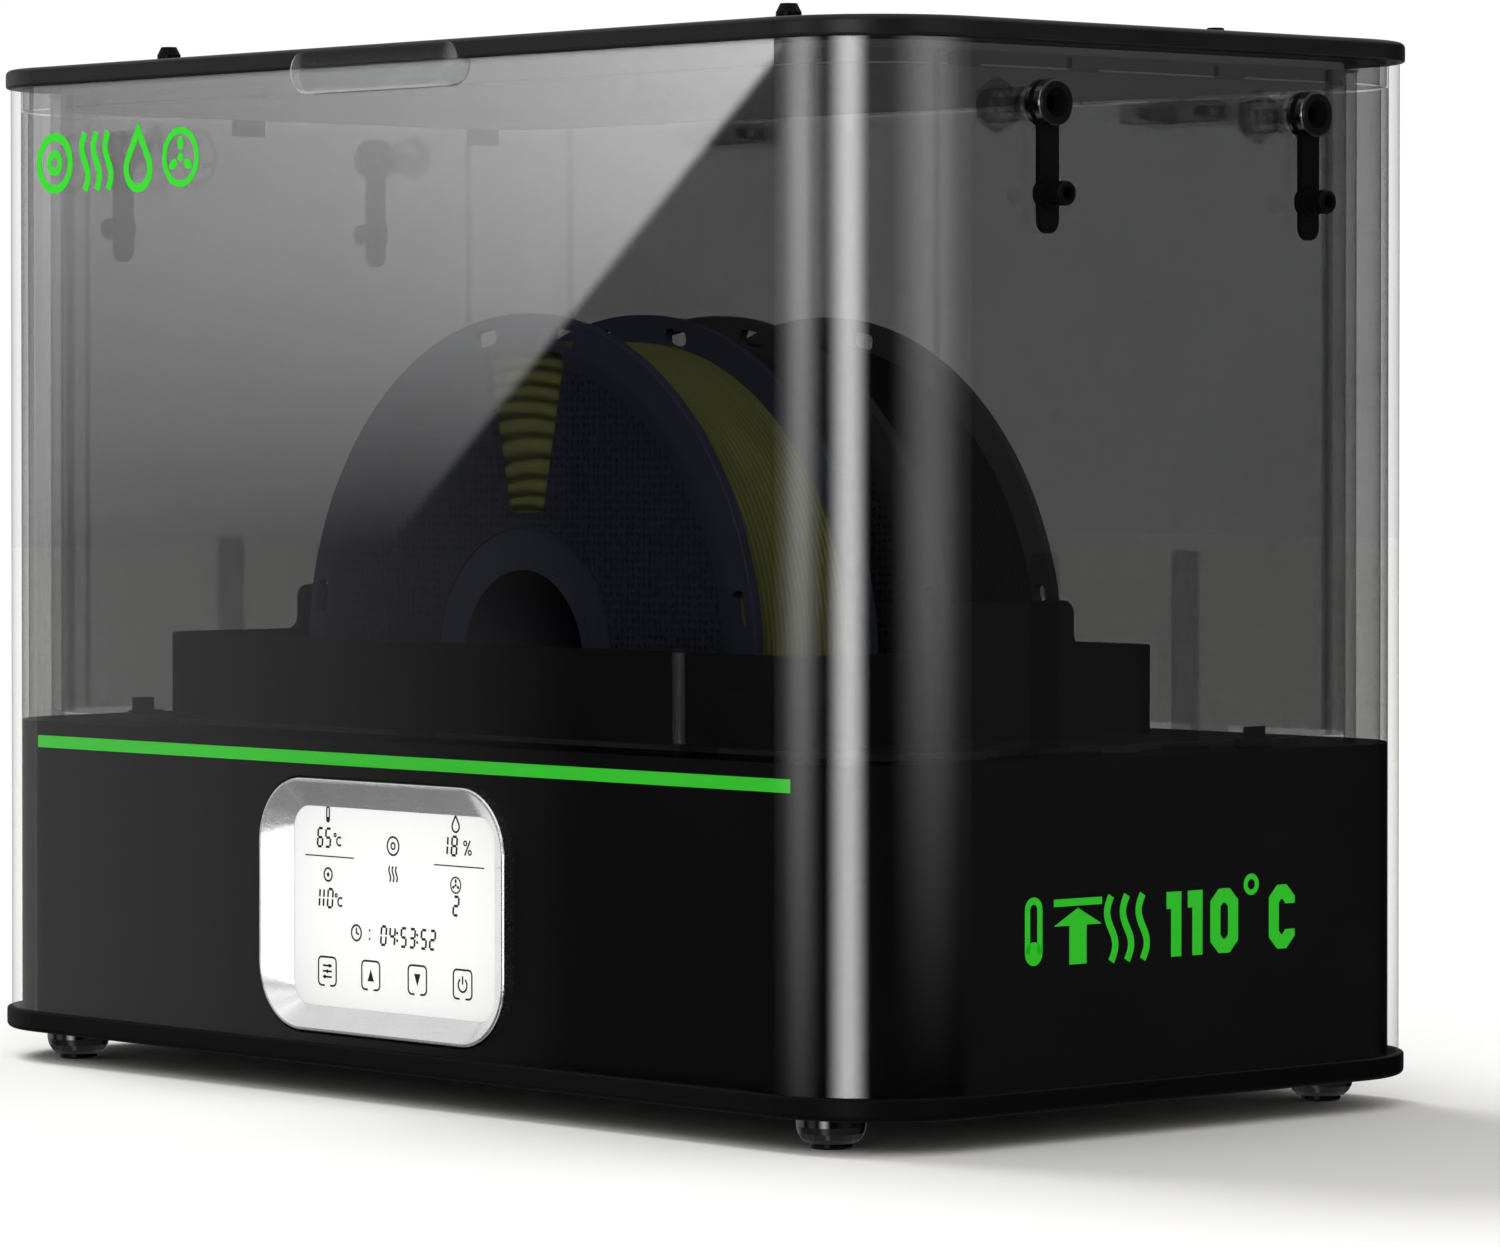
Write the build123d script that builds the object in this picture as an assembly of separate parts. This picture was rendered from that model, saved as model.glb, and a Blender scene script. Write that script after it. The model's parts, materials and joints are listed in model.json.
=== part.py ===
from build123d import *
import math
import os

# Filament dryer box: a clear-walled drying chamber for two filament spools on a black base housing.
#
# Frame: millimetres, +Z up, +X to the right along the front face, front face towards -Y.
# The origin is the centre of the plan, at the bottom of the feet. One STEP file per sub-part goes to parts/.

# ---- driving dimensions -------------------------------------------------------------------------
SHELL_WIDTH = 404.0           # outer clear shell, along X
SHELL_DEPTH = 224.0           # outer clear shell, along Y
SHELL_CORNER = 36.7           # plan corner radius of the outer shell
SHELL_WALL = 3.0
PLATE_OVERHANG = 1.5          # how far the lid and the base plate stand out past the shell

FOOT_HEIGHT = 9.0
BASE_TOP = 15.2               # top of the base plate
HOUSING_TOP = 102.0           # top of the black lower housing
FLOOR_TOP = 103.4             # top of the raised chamber floor
SHELL_TOP = 292.3
LID_LOW = 292.5
LID_TOP = 298.0
PEG_TOP = 304.0

SPOOL_RADIUS = 100.0
SPOOL_WIDTH = 46.5
SPOOL_OFFSET = 36.25          # spool mid-plane from the box centre, along Y
SPOOL_AXIS_Z = 123.0
ROLLER_RADIUS = 9.0
ROLLER_ANGLE = 35.0           # degrees from straight down, seen from the spool axis
AXLE_RADIUS = 3.0
RUNNING_GAP = 0.05            # radial clearance of every turning fit

PORT_Y = 50.0
PORT_Z = 276.0
PORT_BORE = 2.2               # radius that takes a 4 mm guide tube
HINGE_X = 100.0
HINGE_AXIS_Y = 117.0
HINGE_AXIS_Z = 291.0
HINGE_HALF = 18.5             # half the length of one hinge
KNUCKLE_HALF = 7.1            # half the length of its middle knuckle
KNUCKLE_RADIUS = 3.3

# ---- worked-out places --------------------------------------------------------------------------
HALF_WIDTH = SHELL_WIDTH / 2
HALF_DEPTH = SHELL_DEPTH / 2
FRONT = -HALF_DEPTH
REAR = HALF_DEPTH
HOUSING_INSET = SHELL_WALL + 0.2
HOUSING_WALL = 2.5
DECK_LOW = HOUSING_TOP - 2.5
INNER_SHELL_INSET = SHELL_WALL + 0.2
INNER_SHELL_WALL = 2.0
INNER_SHELL_TOP = 285.3
LINER_INSET = 12.0
LINER_WALL = 3.0
LINER_LOW = HOUSING_TOP + 2.6
LINER_TOP = 290.0

FOOT_PLACES = [(x, y) for x in (-168.0, 168.0) for y in (-94.0, 94.0)]
COLUMN_PLACES = [(-110.0, -98.0), (-110.0, 98.0), (110.0, -98.0), (110.0, 98.0), (-190.0, 0.0), (190.0, 0.0)]
PEG_PLACES = [(x, y) for x in (-138.0, 138.0) for y in (-82.0, 82.0)]
SCREW_RADIUS = 1.5

ROLLER_REACH = SPOOL_RADIUS + ROLLER_RADIUS + 0.1
ROLLER_X = ROLLER_REACH * math.sin(math.radians(ROLLER_ANGLE))
ROLLER_Z = SPOOL_AXIS_Z - ROLLER_REACH * math.cos(math.radians(ROLLER_ANGLE))

TRAY_LEFT = -156.8
TRAY_RIGHT = 135.6
TRAY_FRONT = -76.9
TRAY_REAR = 70.0
TRAY_CORNER = 20.0
TRAY_WALL = 2.5
TRAY_TOP = 128.5
CHEEK_TOP = 142.0
CHEEK_FRONT = -19.0
CHEEK_REAR = 28.0
WELL_HALF_X = 106.0
WELL_HALF_Y = 66.0
WELL_LOW = 17.0
WELL_WALL = 2.0

BEZEL_FRONT = FRONT - 0.6
BEZEL_BACK = FRONT + HOUSING_INSET - 0.05
BEZEL_HALF_WIDTH = 55.0
BEZEL_LOW = 18.4
BEZEL_TOP = 90.5
BEZEL_CORNER = 19.0
SLEEVE_HALF_WIDTH = 50.0
SLEEVE_LOW = 23.5
SLEEVE_TOP = 85.5
SLEEVE_CORNER = 10.0
SCREEN_HALF_WIDTH = 45.0
SCREEN_LOW = 25.3
SCREEN_TOP = 82.3
SCREEN_CORNER = 7.0
SCREEN_FACE = FRONT + 4.8
PULL_FRONT = FRONT - 4.0

SOCKET_X = -140.0
SWITCH_X = -70.0
POWER_Z = 48.0
FAN_X = 147.0
FAN_HALF = 36.0
HEATER_HALF_Y = 34.0
HEATER_LOW = BASE_TOP + 27.0
HEATER_HIGH = BASE_TOP + 49.0
OUTLET_LEFT = 138.0
OUTLET_RIGHT = 170.0
OUTLET_HALF_Y = 34.0


# ---- helpers ------------------------------------------------------------------------------------
def block(x0, x1, y0, y1, z0, z1):
    """An axis-aligned block between two corners."""
    centre = Pos((x0 + x1) / 2, (y0 + y1) / 2, (z0 + z1) / 2)
    return centre * Box(x1 - x0, y1 - y0, z1 - z0)


def rounded_block(x0, x1, y0, y1, z0, z1, radius):
    """A block whose four upright edges are rounded."""
    outline = RectangleRounded(x1 - x0, y1 - y0, radius)
    return Pos((x0 + x1) / 2, (y0 + y1) / 2, z0) * extrude(outline, z1 - z0)


def front_block(x0, x1, z0, z1, y0, y1, radius):
    """A block rounded in the front view, running along Y from y0 to y1."""
    outline = Plane.XZ * RectangleRounded(x1 - x0, z1 - z0, radius)
    return Pos((x0 + x1) / 2, y1, (z0 + z1) / 2) * extrude(outline, y1 - y0)


def plan_block(inset, z0, z1):
    """The shell's rounded plan, moved inwards by inset, between two heights."""
    half_x = HALF_WIDTH - inset
    half_y = HALF_DEPTH - inset
    return rounded_block(-half_x, half_x, -half_y, half_y, z0, z1, SHELL_CORNER - inset)


def plan_ring(inset, wall, z0, z1):
    """A wall that follows the shell's plan, inset to inset + wall."""
    return plan_block(inset, z0, z1) - plan_block(inset + wall, z0 - 1, z1 + 1)


def rod_z(x, y, radius, z0, z1):
    return Pos(x, y, (z0 + z1) / 2) * Cylinder(radius, z1 - z0)


def rod_y(x, z, radius, y0, y1):
    return Pos(x, (y0 + y1) / 2, z) * Rot(90, 0, 0) * Cylinder(radius, y1 - y0)


def rod_x(y, z, radius, x0, x1):
    return Pos((x0 + x1) / 2, y, z) * Rot(0, 90, 0) * Cylinder(radius, abs(x1 - x0))


def lathe(points, x=0.0, y=0.0, z=0.0):
    """Turns an (r, z) outline about an upright axis."""
    profile = Plane.XZ * make_face(Polyline(*points, close=True))
    return Pos(x, y, z) * revolve(profile, Axis.Z)


def save(name, *solids):
    """Writes one sub-part; several separate solids share one file."""
    shape = solids[0] if len(solids) == 1 else Compound(children=list(solids))
    shape.label = name
    export_step(shape, f"parts/{name}.step")


def mirror_x(shape):
    return mirror(shape, Plane.YZ)


def mirror_y(shape):
    return mirror(shape, Plane.XZ)


# ---- base: plate, feet and screws ---------------------------------------------------------------
def base_plate():
    plate = plan_block(-PLATE_OVERHANG, FOOT_HEIGHT, BASE_TOP)
    plate = fillet(plate.edges().group_by(Axis.Z)[0], 1.6)
    plate = fillet(plate.edges().group_by(Axis.Z)[-1], 0.8)
    for x, y in FOOT_PLACES + COLUMN_PLACES:
        plate -= rod_z(x, y, SCREW_RADIUS + 0.2, FOOT_HEIGHT - 1, BASE_TOP + 1)
    for x, y in COLUMN_PLACES:
        plate -= rod_z(x, y, 3.2, FOOT_HEIGHT - 1, FOOT_HEIGHT + 2.2)
    for row in range(-3, 4):
        plate -= rounded_block(FAN_X - 26, FAN_X + 26, row * 7 - 1.5, row * 7 + 1.5, 0, 20, 1.4)
    return plate


def foot_cup(x, y):
    outline = [(1.7, 5.0), (1.7, 9.0), (9.35, 9.0), (9.35, 6.0), (8.9, 4.2), (8.0, 2.7), (6.8, 1.6),
               (5.95, 1.6), (5.95, 2.9), (3.6, 2.9), (3.6, 5.0)]
    return lathe(outline, x, y)


def foot_pad(x, y):
    pad = rod_z(x, y, 5.8, 0, 2.8)
    return chamfer(pad.edges().group_by(Axis.Z)[0], 0.5)


def screw_up(x, y, head_low, head_high, tip):
    """A pan-head screw that points up: the head below, the shank above."""
    return rod_z(x, y, 2.9, head_low, head_high) + rod_z(x, y, SCREW_RADIUS, head_high, tip)


# ---- lower housing ------------------------------------------------------------------------------
def lower_housing():
    inner = HOUSING_INSET + HOUSING_WALL
    body = plan_block(HOUSING_INSET, BASE_TOP, HOUSING_TOP)
    body -= plan_block(inner, BASE_TOP - 1, DECK_LOW)
    for x, y in FOOT_PLACES + COLUMN_PLACES:
        body += rod_z(x, y, 4.5, BASE_TOP, DECK_LOW)
        body -= rod_z(x, y, SCREW_RADIUS + 0.05, BASE_TOP - 1, 36)
    well = 0.5
    body -= rounded_block(-WELL_HALF_X - well, WELL_HALF_X + well, -WELL_HALF_Y - well, WELL_HALF_Y + well,
                          DECK_LOW - 1, HOUSING_TOP + 1, 6)
    body -= block(OUTLET_LEFT, OUTLET_RIGHT, -OUTLET_HALF_Y, OUTLET_HALF_Y, DECK_LOW - 1, HOUSING_TOP + 1)
    body -= block(-172, -160, -OUTLET_HALF_Y, OUTLET_HALF_Y, DECK_LOW - 1, HOUSING_TOP + 1)
    body -= display_window()
    body -= power_windows(0.2)
    body -= block(-168.1, 168.1, FRONT, FRONT + HOUSING_INSET + 0.9, 94.2, 98.0)
    return body


def display_window():
    """The opening in the housing's front wall for the bezel's sleeve."""
    return front_block(-SLEEVE_HALF_WIDTH - 0.3, SLEEVE_HALF_WIDTH + 0.3, SLEEVE_LOW - 0.3, SLEEVE_TOP + 0.3,
                       FRONT - 1, FRONT + 8, SLEEVE_CORNER)


def bezel_window():
    """The opening in the outer shell round the whole bezel."""
    gap = 0.6
    return front_block(-BEZEL_HALF_WIDTH - gap, BEZEL_HALF_WIDTH + gap, BEZEL_LOW - gap, BEZEL_TOP + gap,
                       FRONT - 1, FRONT + SHELL_WALL + 0.1, BEZEL_CORNER + gap)


def power_windows(gap):
    """Rear openings for the power socket and the rocker switch."""
    socket = block(SOCKET_X - 13.5 - gap, SOCKET_X + 13.5 + gap, REAR - 9, REAR + 1,
                   POWER_Z - 10 - gap, POWER_Z + 10 + gap)
    switch = block(SWITCH_X - 7.5 - gap, SWITCH_X + 7.5 + gap, REAR - 9, REAR + 1,
                   POWER_Z - 10.5 - gap, POWER_Z + 10.5 + gap)
    return socket + switch


def chamber_floor():
    floor = rounded_block(-175, 175, -85, 85, HOUSING_TOP, FLOOR_TOP, 12)
    floor -= rounded_block(-WELL_HALF_X - 0.5, WELL_HALF_X + 0.5, -WELL_HALF_Y - 0.5, WELL_HALF_Y + 0.5,
                           HOUSING_TOP - 1, FLOOR_TOP + 1, 6)
    for row in range(-5, 6):
        floor -= rounded_block(141, 167, row * 6 - 1.5, row * 6 + 1.5, HOUSING_TOP - 1, FLOOR_TOP + 1, 1.4)
        floor -= rounded_block(-171, -161, row * 6 - 1.5, row * 6 + 1.5, HOUSING_TOP - 1, FLOOR_TOP + 1, 1.4)
    return floor


def floor_clip(x, y):
    """A low hooked clip on the housing rim, outside the chamber floor."""
    foot = block(x - 2.5, x + 2.5, y - 5, y + 5, HOUSING_TOP, HOUSING_TOP + 1.6)
    hook = block(x - 2.5, x - 0.7, y - 3.5, y + 3.5, HOUSING_TOP, HOUSING_TOP + 5.4)
    return foot + hook


def guide_post(x, y):
    """A thin upright blade that keeps the liner and the spools apart."""
    blade = block(x - 1.5, x + 1.5, y - 4, y + 4, HOUSING_TOP, 156.5)
    blade = fillet(blade.edges().filter_by(Axis.X).group_by(Axis.Z)[-1], 1.2)
    return blade + block(x - 3.5, x + 3.5, y - 6, y + 6, HOUSING_TOP, HOUSING_TOP + 2)


# ---- spool tray and rollers ---------------------------------------------------------------------
def cheek(x0, x1):
    """A raised stretch of the tray's end wall, with hollow curves where it meets the wall."""
    outline = FilletPolyline((CHEEK_FRONT - 12, TRAY_TOP), (CHEEK_FRONT, TRAY_TOP), (CHEEK_FRONT, CHEEK_TOP),
                             (CHEEK_REAR, CHEEK_TOP), (CHEEK_REAR, TRAY_TOP), (CHEEK_REAR + 12, TRAY_TOP),
                             radius=4.0)
    closing = Polyline((CHEEK_REAR + 12, TRAY_TOP), (CHEEK_REAR + 12, TRAY_TOP - 2),
                       (CHEEK_FRONT - 12, TRAY_TOP - 2), (CHEEK_FRONT - 12, TRAY_TOP))
    face = Plane.YZ * make_face(outline + closing)
    return Pos(x0, 0, 0) * extrude(face, x1 - x0)


def axle_seats(x):
    """Two inward bosses with drop-in slots that hold the ends of one roller axle."""
    wall_inside = WELL_HALF_Y - WELL_WALL
    bosses = rod_y(x, ROLLER_Z, 6, 60.4, wall_inside) + rod_y(x, ROLLER_Z, 6, -wall_inside, -60.4)
    return bosses


def axle_slots(x):
    reach = WELL_HALF_Y - 1.0
    gap = AXLE_RADIUS + RUNNING_GAP
    slots = None
    for low, high in ((60.0, reach), (-reach, -60.0)):
        slot = rod_y(x, ROLLER_Z, gap, low, high) + block(x - gap, x + gap, low, high, ROLLER_Z, ROLLER_Z + 9)
        slots = slot if slots is None else slots + slot
    return slots


def spool_tray():
    collar = rounded_block(TRAY_LEFT, TRAY_RIGHT, TRAY_FRONT, TRAY_REAR, FLOOR_TOP, TRAY_TOP, TRAY_CORNER)
    collar -= rounded_block(TRAY_LEFT + TRAY_WALL, TRAY_RIGHT - TRAY_WALL, TRAY_FRONT + TRAY_WALL,
                            TRAY_REAR - TRAY_WALL, FLOOR_TOP + 2, TRAY_TOP + 1, TRAY_CORNER - TRAY_WALL)
    collar += cheek(TRAY_LEFT, TRAY_LEFT + TRAY_WALL)
    collar += cheek(TRAY_RIGHT - TRAY_WALL, TRAY_RIGHT)
    collar += rod_z(88, TRAY_FRONT + 0.5, 2.6, FLOOR_TOP, TRAY_TOP)
    well = rounded_block(-WELL_HALF_X, WELL_HALF_X, -WELL_HALF_Y, WELL_HALF_Y, WELL_LOW, FLOOR_TOP + 2, 6)
    room = rounded_block(-WELL_HALF_X + WELL_WALL, WELL_HALF_X - WELL_WALL, -WELL_HALF_Y + WELL_WALL,
                         WELL_HALF_Y - WELL_WALL, WELL_LOW + WELL_WALL, FLOOR_TOP + 3, 4)
    tray = collar + well - room
    for x in (-ROLLER_X, ROLLER_X):
        tray += axle_seats(x)
        tray -= axle_slots(x)
    for row in range(-3, 4):
        tray -= rounded_block(-148, -122, row * 8 - 1.5, row * 8 + 1.5, FLOOR_TOP - 1, FLOOR_TOP + 3, 1.4)
    return tray


def roller_axle(x):
    return rod_y(x, ROLLER_Z, AXLE_RADIUS, -WELL_HALF_Y + 1.2, WELL_HALF_Y - 1.2)


def roller(x, y_mid):
    """One free-turning roller with a groove round each end."""
    length = 44.0
    body = rod_y(x, ROLLER_Z, ROLLER_RADIUS, y_mid - length / 2, y_mid + length / 2)
    body = chamfer(body.edges(), 0.8)
    for side in (-1, 1):
        groove = rod_y(x, ROLLER_Z, ROLLER_RADIUS + 1, y_mid + side * 15 - 1, y_mid + side * 15 + 1)
        body -= groove - rod_y(x, ROLLER_Z, ROLLER_RADIUS - 0.8, y_mid - length, y_mid + length)
    return body - rod_y(x, ROLLER_Z, AXLE_RADIUS + RUNNING_GAP, y_mid - length, y_mid + length)


# ---- spools -------------------------------------------------------------------------------------
SPOOL_BORE = 26.5
DRUM_RADIUS = 40.0
FLANGE = 3.0
WINDING_RADIUS = 92.0
RIM_SLOT_TURNS = [quarter + step for quarter in (0, 90, 180, 270) for step in (-10.4, 10.4)]


def flange_window(turn):
    """A tapered window with rounded corners, wide at the rim and narrow at the drum."""
    outline = Polygon((-9, 43), (9, 43), (18.5, 89), (-18.5, 89), align=None)
    outline = fillet(outline.vertices(), 4)
    cutter = extrude(Plane.XZ * outline, SPOOL_WIDTH, both=True)
    return Rot(0, turn, 0) * cutter


def spool(y_mid):
    half = SPOOL_WIDTH / 2
    body = rod_y(0, 0, SPOOL_RADIUS, -half, half)
    body = chamfer(body.edges(), 0.5)
    waist = rod_y(0, 0, SPOOL_RADIUS + 5, -half + FLANGE, half - FLANGE)
    body -= waist - rod_y(0, 0, DRUM_RADIUS, -half, half)
    body -= rod_y(0, 0, SPOOL_BORE, -half - 1, half + 1)
    cuts = flange_window(0) + flange_window(180)
    slot = front_block(-5.2, 5.2, 92.0, 96.8, -half - 1, half + 1, 1.8)
    for turn in RIM_SLOT_TURNS:
        cuts += Rot(0, turn, 0) * slot
    body -= cuts - rod_y(0, 0, DRUM_RADIUS + 1, -half - 2, half + 2)
    for side in (-1, 1):
        ring = rod_y(0, 0, 38.5, side * half - 0.5, side * half + 0.5)
        body -= ring - rod_y(0, 0, 30.0, side * half - 1, side * half + 1)
    return Pos(0, y_mid, SPOOL_AXIS_Z) * body


def winding(y_mid):
    half = SPOOL_WIDTH / 2 - FLANGE - 0.05
    wound = rod_y(0, 0, WINDING_RADIUS, -half, half)
    wound = fillet(wound.edges(), 1.2)
    wound -= rod_y(0, 0, DRUM_RADIUS + 0.05, -half - 1, half + 1)
    return Pos(0, y_mid, SPOOL_AXIS_Z) * wound


# ---- shells -------------------------------------------------------------------------------------
def port_holes(radius):
    """Four bores along X where the filament ports cross the walls."""
    holes = None
    for y in (-PORT_Y, PORT_Y):
        for side in (-1, 1):
            hole = rod_x(y, PORT_Z, radius, side * (HALF_WIDTH - 30), side * (HALF_WIDTH + 2))
            holes = hole if holes is None else holes + hole
    return holes


HINGE_SCREW_PLACES = [side * HINGE_X + step for side in (-1, 1) for step in (-12.0, 12.0)]
HINGE_SCREW_Z = 282.0


def hinge_screw_holes(radius):
    holes = None
    for x in HINGE_SCREW_PLACES:
        hole = rod_y(x, HINGE_SCREW_Z, radius, REAR - 12, REAR + 2)
        holes = hole if holes is None else holes + hole
    return holes


def outer_shell():
    shell = plan_ring(0, SHELL_WALL, BASE_TOP, SHELL_TOP)
    shell -= port_holes(4.8)
    shell -= bezel_window()
    shell -= power_windows(0.2)
    return shell - hinge_screw_holes(SCREW_RADIUS + 0.2)


def inner_shell():
    shell = plan_ring(INNER_SHELL_INSET, INNER_SHELL_WALL, HOUSING_TOP, INNER_SHELL_TOP)
    shell -= port_holes(4.8)
    return shell - hinge_screw_holes(SCREW_RADIUS + 0.2)


def chamber_liner():
    """Four flat panels and four bent corner pieces, on short legs, with a fine seam between neighbours."""
    ring = plan_ring(LINER_INSET, LINER_WALL, LINER_LOW, LINER_TOP)
    for x in (-120, 0, 120):
        for y in (-HALF_DEPTH + LINER_INSET, HALF_DEPTH - LINER_INSET - LINER_WALL):
            ring += block(x - 6, x + 6, y, y + LINER_WALL, HOUSING_TOP, LINER_LOW + 1)
    for y in (-45, 45):
        for x in (-HALF_WIDTH + LINER_INSET, HALF_WIDTH - LINER_INSET - LINER_WALL):
            ring += block(x, x + LINER_WALL, y - 6, y + 6, HOUSING_TOP, LINER_LOW + 1)
    corner_x = HALF_WIDTH - SHELL_CORNER
    corner_y = HALF_DEPTH - SHELL_CORNER
    legs = plan_ring(LINER_INSET, LINER_WALL, HOUSING_TOP, LINER_LOW + 1)
    legs -= block(-corner_x - 12, corner_x + 12, -HALF_DEPTH, HALF_DEPTH, 0, SHELL_TOP)
    ring += legs - block(-HALF_WIDTH, HALF_WIDTH, -corner_y - 12, corner_y + 12, 0, SHELL_TOP)
    ring -= port_holes(4.8)
    seam = 0.1
    for side in (-1, 1):
        x = side * corner_x
        ring -= block(x - seam, x + seam, -HALF_DEPTH, HALF_DEPTH, 0, SHELL_TOP)
        y = side * corner_y
        ring -= block(-HALF_WIDTH, HALF_WIDTH, y - seam, y + seam, 0, SHELL_TOP)
    return ring.solids()


# ---- filament ports and stoppers ----------------------------------------------------------------
NECK_RADIUS = 4.6
COLLAR_RADIUS = 6.3
FLANGE_HIGH = HALF_WIDTH + 1.4
STRAP_LOW = FLANGE_HIGH + 0.1
STRAP_HIGH = STRAP_LOW + 1.7
COLLAR_HIGH = HALF_WIDTH + 6.0
PORT_INSIDE = HALF_WIDTH - 20.0
PLUG_Z = 252.0
STRAP_END_Z = 245.0


def port_tube(y):
    """A port on the +X wall: a flange, a neck through all walls, and a collar with a flared mouth outside."""
    tube = rod_x(y, PORT_Z, NECK_RADIUS, PORT_INSIDE, STRAP_HIGH + 0.3)
    tube += rod_x(y, PORT_Z, COLLAR_RADIUS, HALF_WIDTH, FLANGE_HIGH)
    collar = rod_x(y, PORT_Z, COLLAR_RADIUS, STRAP_HIGH + 0.1, COLLAR_HIGH)
    tube += fillet(collar.edges().group_by(Axis.X)[-1], 0.9)
    tube -= rod_x(y, PORT_Z, PORT_BORE, PORT_INSIDE - 1, COLLAR_HIGH + 1)
    mouth = Pos(COLLAR_HIGH - 1.5, y, PORT_Z) * Rot(0, 90, 0) * Cone(PORT_BORE, 3.9, 3.01)
    return tube - mouth


def port_nut(y):
    """A hexagonal nut that clamps the port's neck from inside the chamber."""
    inside = HALF_WIDTH - LINER_INSET - LINER_WALL
    hexagon = extrude(RegularPolygon(7.4, 6), 3.2)
    nut = Pos(inside - 3.3, y, PORT_Z) * Rot(0, 90, 0) * hexagon
    return nut - rod_x(y, PORT_Z, NECK_RADIUS + 0.05, inside - 5, inside + 1)


def stopper(y):
    """A tethered stopper on the +X wall: a ring round the port's neck, a strap and a hollow beaded plug."""
    body = rod_x(y, PORT_Z, COLLAR_RADIUS - 0.1, STRAP_LOW, STRAP_HIGH)
    body += block(STRAP_LOW, STRAP_HIGH, y - 3.5, y + 3.5, STRAP_END_Z, PORT_Z - 4)
    body += rod_x(y, STRAP_END_Z, 3.5, STRAP_LOW, STRAP_HIGH)
    body += rod_x(y, PLUG_Z, 4.1, STRAP_LOW - 0.6, STRAP_HIGH + 1.2)
    body += rod_x(y, PLUG_Z, 2.8, STRAP_HIGH, STRAP_HIGH + 5)
    bead = rod_x(y, PLUG_Z, 3.3, STRAP_HIGH + 3.4, STRAP_HIGH + 7)
    body += fillet(bead.edges(), 0.8)
    body -= rod_x(y, PLUG_Z, 1.8, STRAP_HIGH + 1, STRAP_HIGH + 8)
    return body - rod_x(y, PORT_Z, NECK_RADIUS + RUNNING_GAP, STRAP_LOW - 1, STRAP_HIGH + 1)


# ---- lid and hinges -----------------------------------------------------------------------------
def lid_plate():
    plate = plan_block(-PLATE_OVERHANG, LID_LOW, LID_TOP)
    plate = fillet(plate.edges().group_by(Axis.Z)[-1], 1.6)
    plate = fillet(plate.edges().group_by(Axis.Z)[0], 0.8)
    tab_x = -(HALF_WIDTH - 10.5)
    for y in (-11.0, 84.0):
        plate += block(tab_x - 0.75, tab_x + 0.75, y - 6, y + 6, 281, LID_LOW + 1)
    for x, y in PEG_PLACES:
        plate -= rod_z(x, y, 2.0, LID_TOP - 4, LID_TOP + 1)
    for x in HINGE_SCREW_PLACES:
        plate -= rod_z(x, 103, SCREW_RADIUS + 0.05, LID_TOP - 4, LID_TOP + 1)
    return plate


def lid_skirt():
    """The downward rim under the lid, with small snap lugs along its inner side."""
    skirt = plan_ring(3.6, 2.0, 286.0, LID_LOW)
    lug_low = 285.5
    lug_high = 289.0
    inner_y = HALF_DEPTH - 5.4
    inner_x = HALF_WIDTH - 5.4
    for x in (-147, -65, 65, 147):
        for side in (-1, 1):
            y = side * (inner_y - 1)
            skirt += block(x - 5, x + 5, y - 1, y + 1, lug_low, lug_high)
    for y in (-72, -28, 28, 72):
        for side in (-1, 1):
            x = side * (inner_x - 1)
            skirt += block(x - 1, x + 1, y - 5, y + 5, lug_low, lug_high)
    return skirt


def lid_seal():
    return plan_ring(11.5, 4.0, LINER_TOP + 0.2, LID_LOW)


def lid_peg(x, y):
    shank = rod_z(x, y, 1.95, LID_TOP - 3.9, LID_TOP + 1)
    stud = rod_z(x, y, 3.5, LID_TOP, LID_TOP + 3.6)
    nose = Pos(x, y, LID_TOP + 3.6 + 1.2) * Cone(3.5, 2.3, PEG_TOP - LID_TOP - 3.6)
    return shank + stud + nose


def lid_pull():
    """A clear bar with round ends, half over the lid's edge and half over the shell."""
    half_length = 36.8
    low = 285.0
    high = 297.6
    bar = front_block(-half_length, half_length, low, high, PULL_FRONT, FRONT - 0.3, (high - low) / 2 - 0.05)
    bar = fillet(bar.edges().group_by(Axis.Y)[0], 2.2)
    return bar - block(-60, 60, FRONT - PLATE_OVERHANG - 0.05, REAR, LID_LOW - 0.15, LID_TOP + 5)


def hinge_block(x):
    """A spacer between the inner shell and the liner that takes the hinge screws."""
    body = block(x - HINGE_HALF, x + HINGE_HALF, REAR - 11.8, REAR - 5.4, 279, 285.1)
    return body - hinge_screw_holes(SCREW_RADIUS + 0.05)


def hinge_case_leaf(x):
    plate = block(x - HINGE_HALF, x + HINGE_HALF, REAR, REAR + 2, 278, 288)
    plate = fillet(plate.edges().filter_by(Axis.Y), 1.5)
    leaf = plate
    gap = KNUCKLE_HALF + 0.3
    for start, end in ((x - HINGE_HALF, x - gap), (x + gap, x + HINGE_HALF)):
        leaf += rod_x(HINGE_AXIS_Y, HINGE_AXIS_Z, KNUCKLE_RADIUS, start, end)
        leaf += block(start, end, REAR, HINGE_AXIS_Y, 286, 289.5)
    leaf -= hinge_screw_holes(SCREW_RADIUS + 0.2)
    return leaf - rod_x(HINGE_AXIS_Y, HINGE_AXIS_Z, 1.55, x - 30, x + 30)


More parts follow.
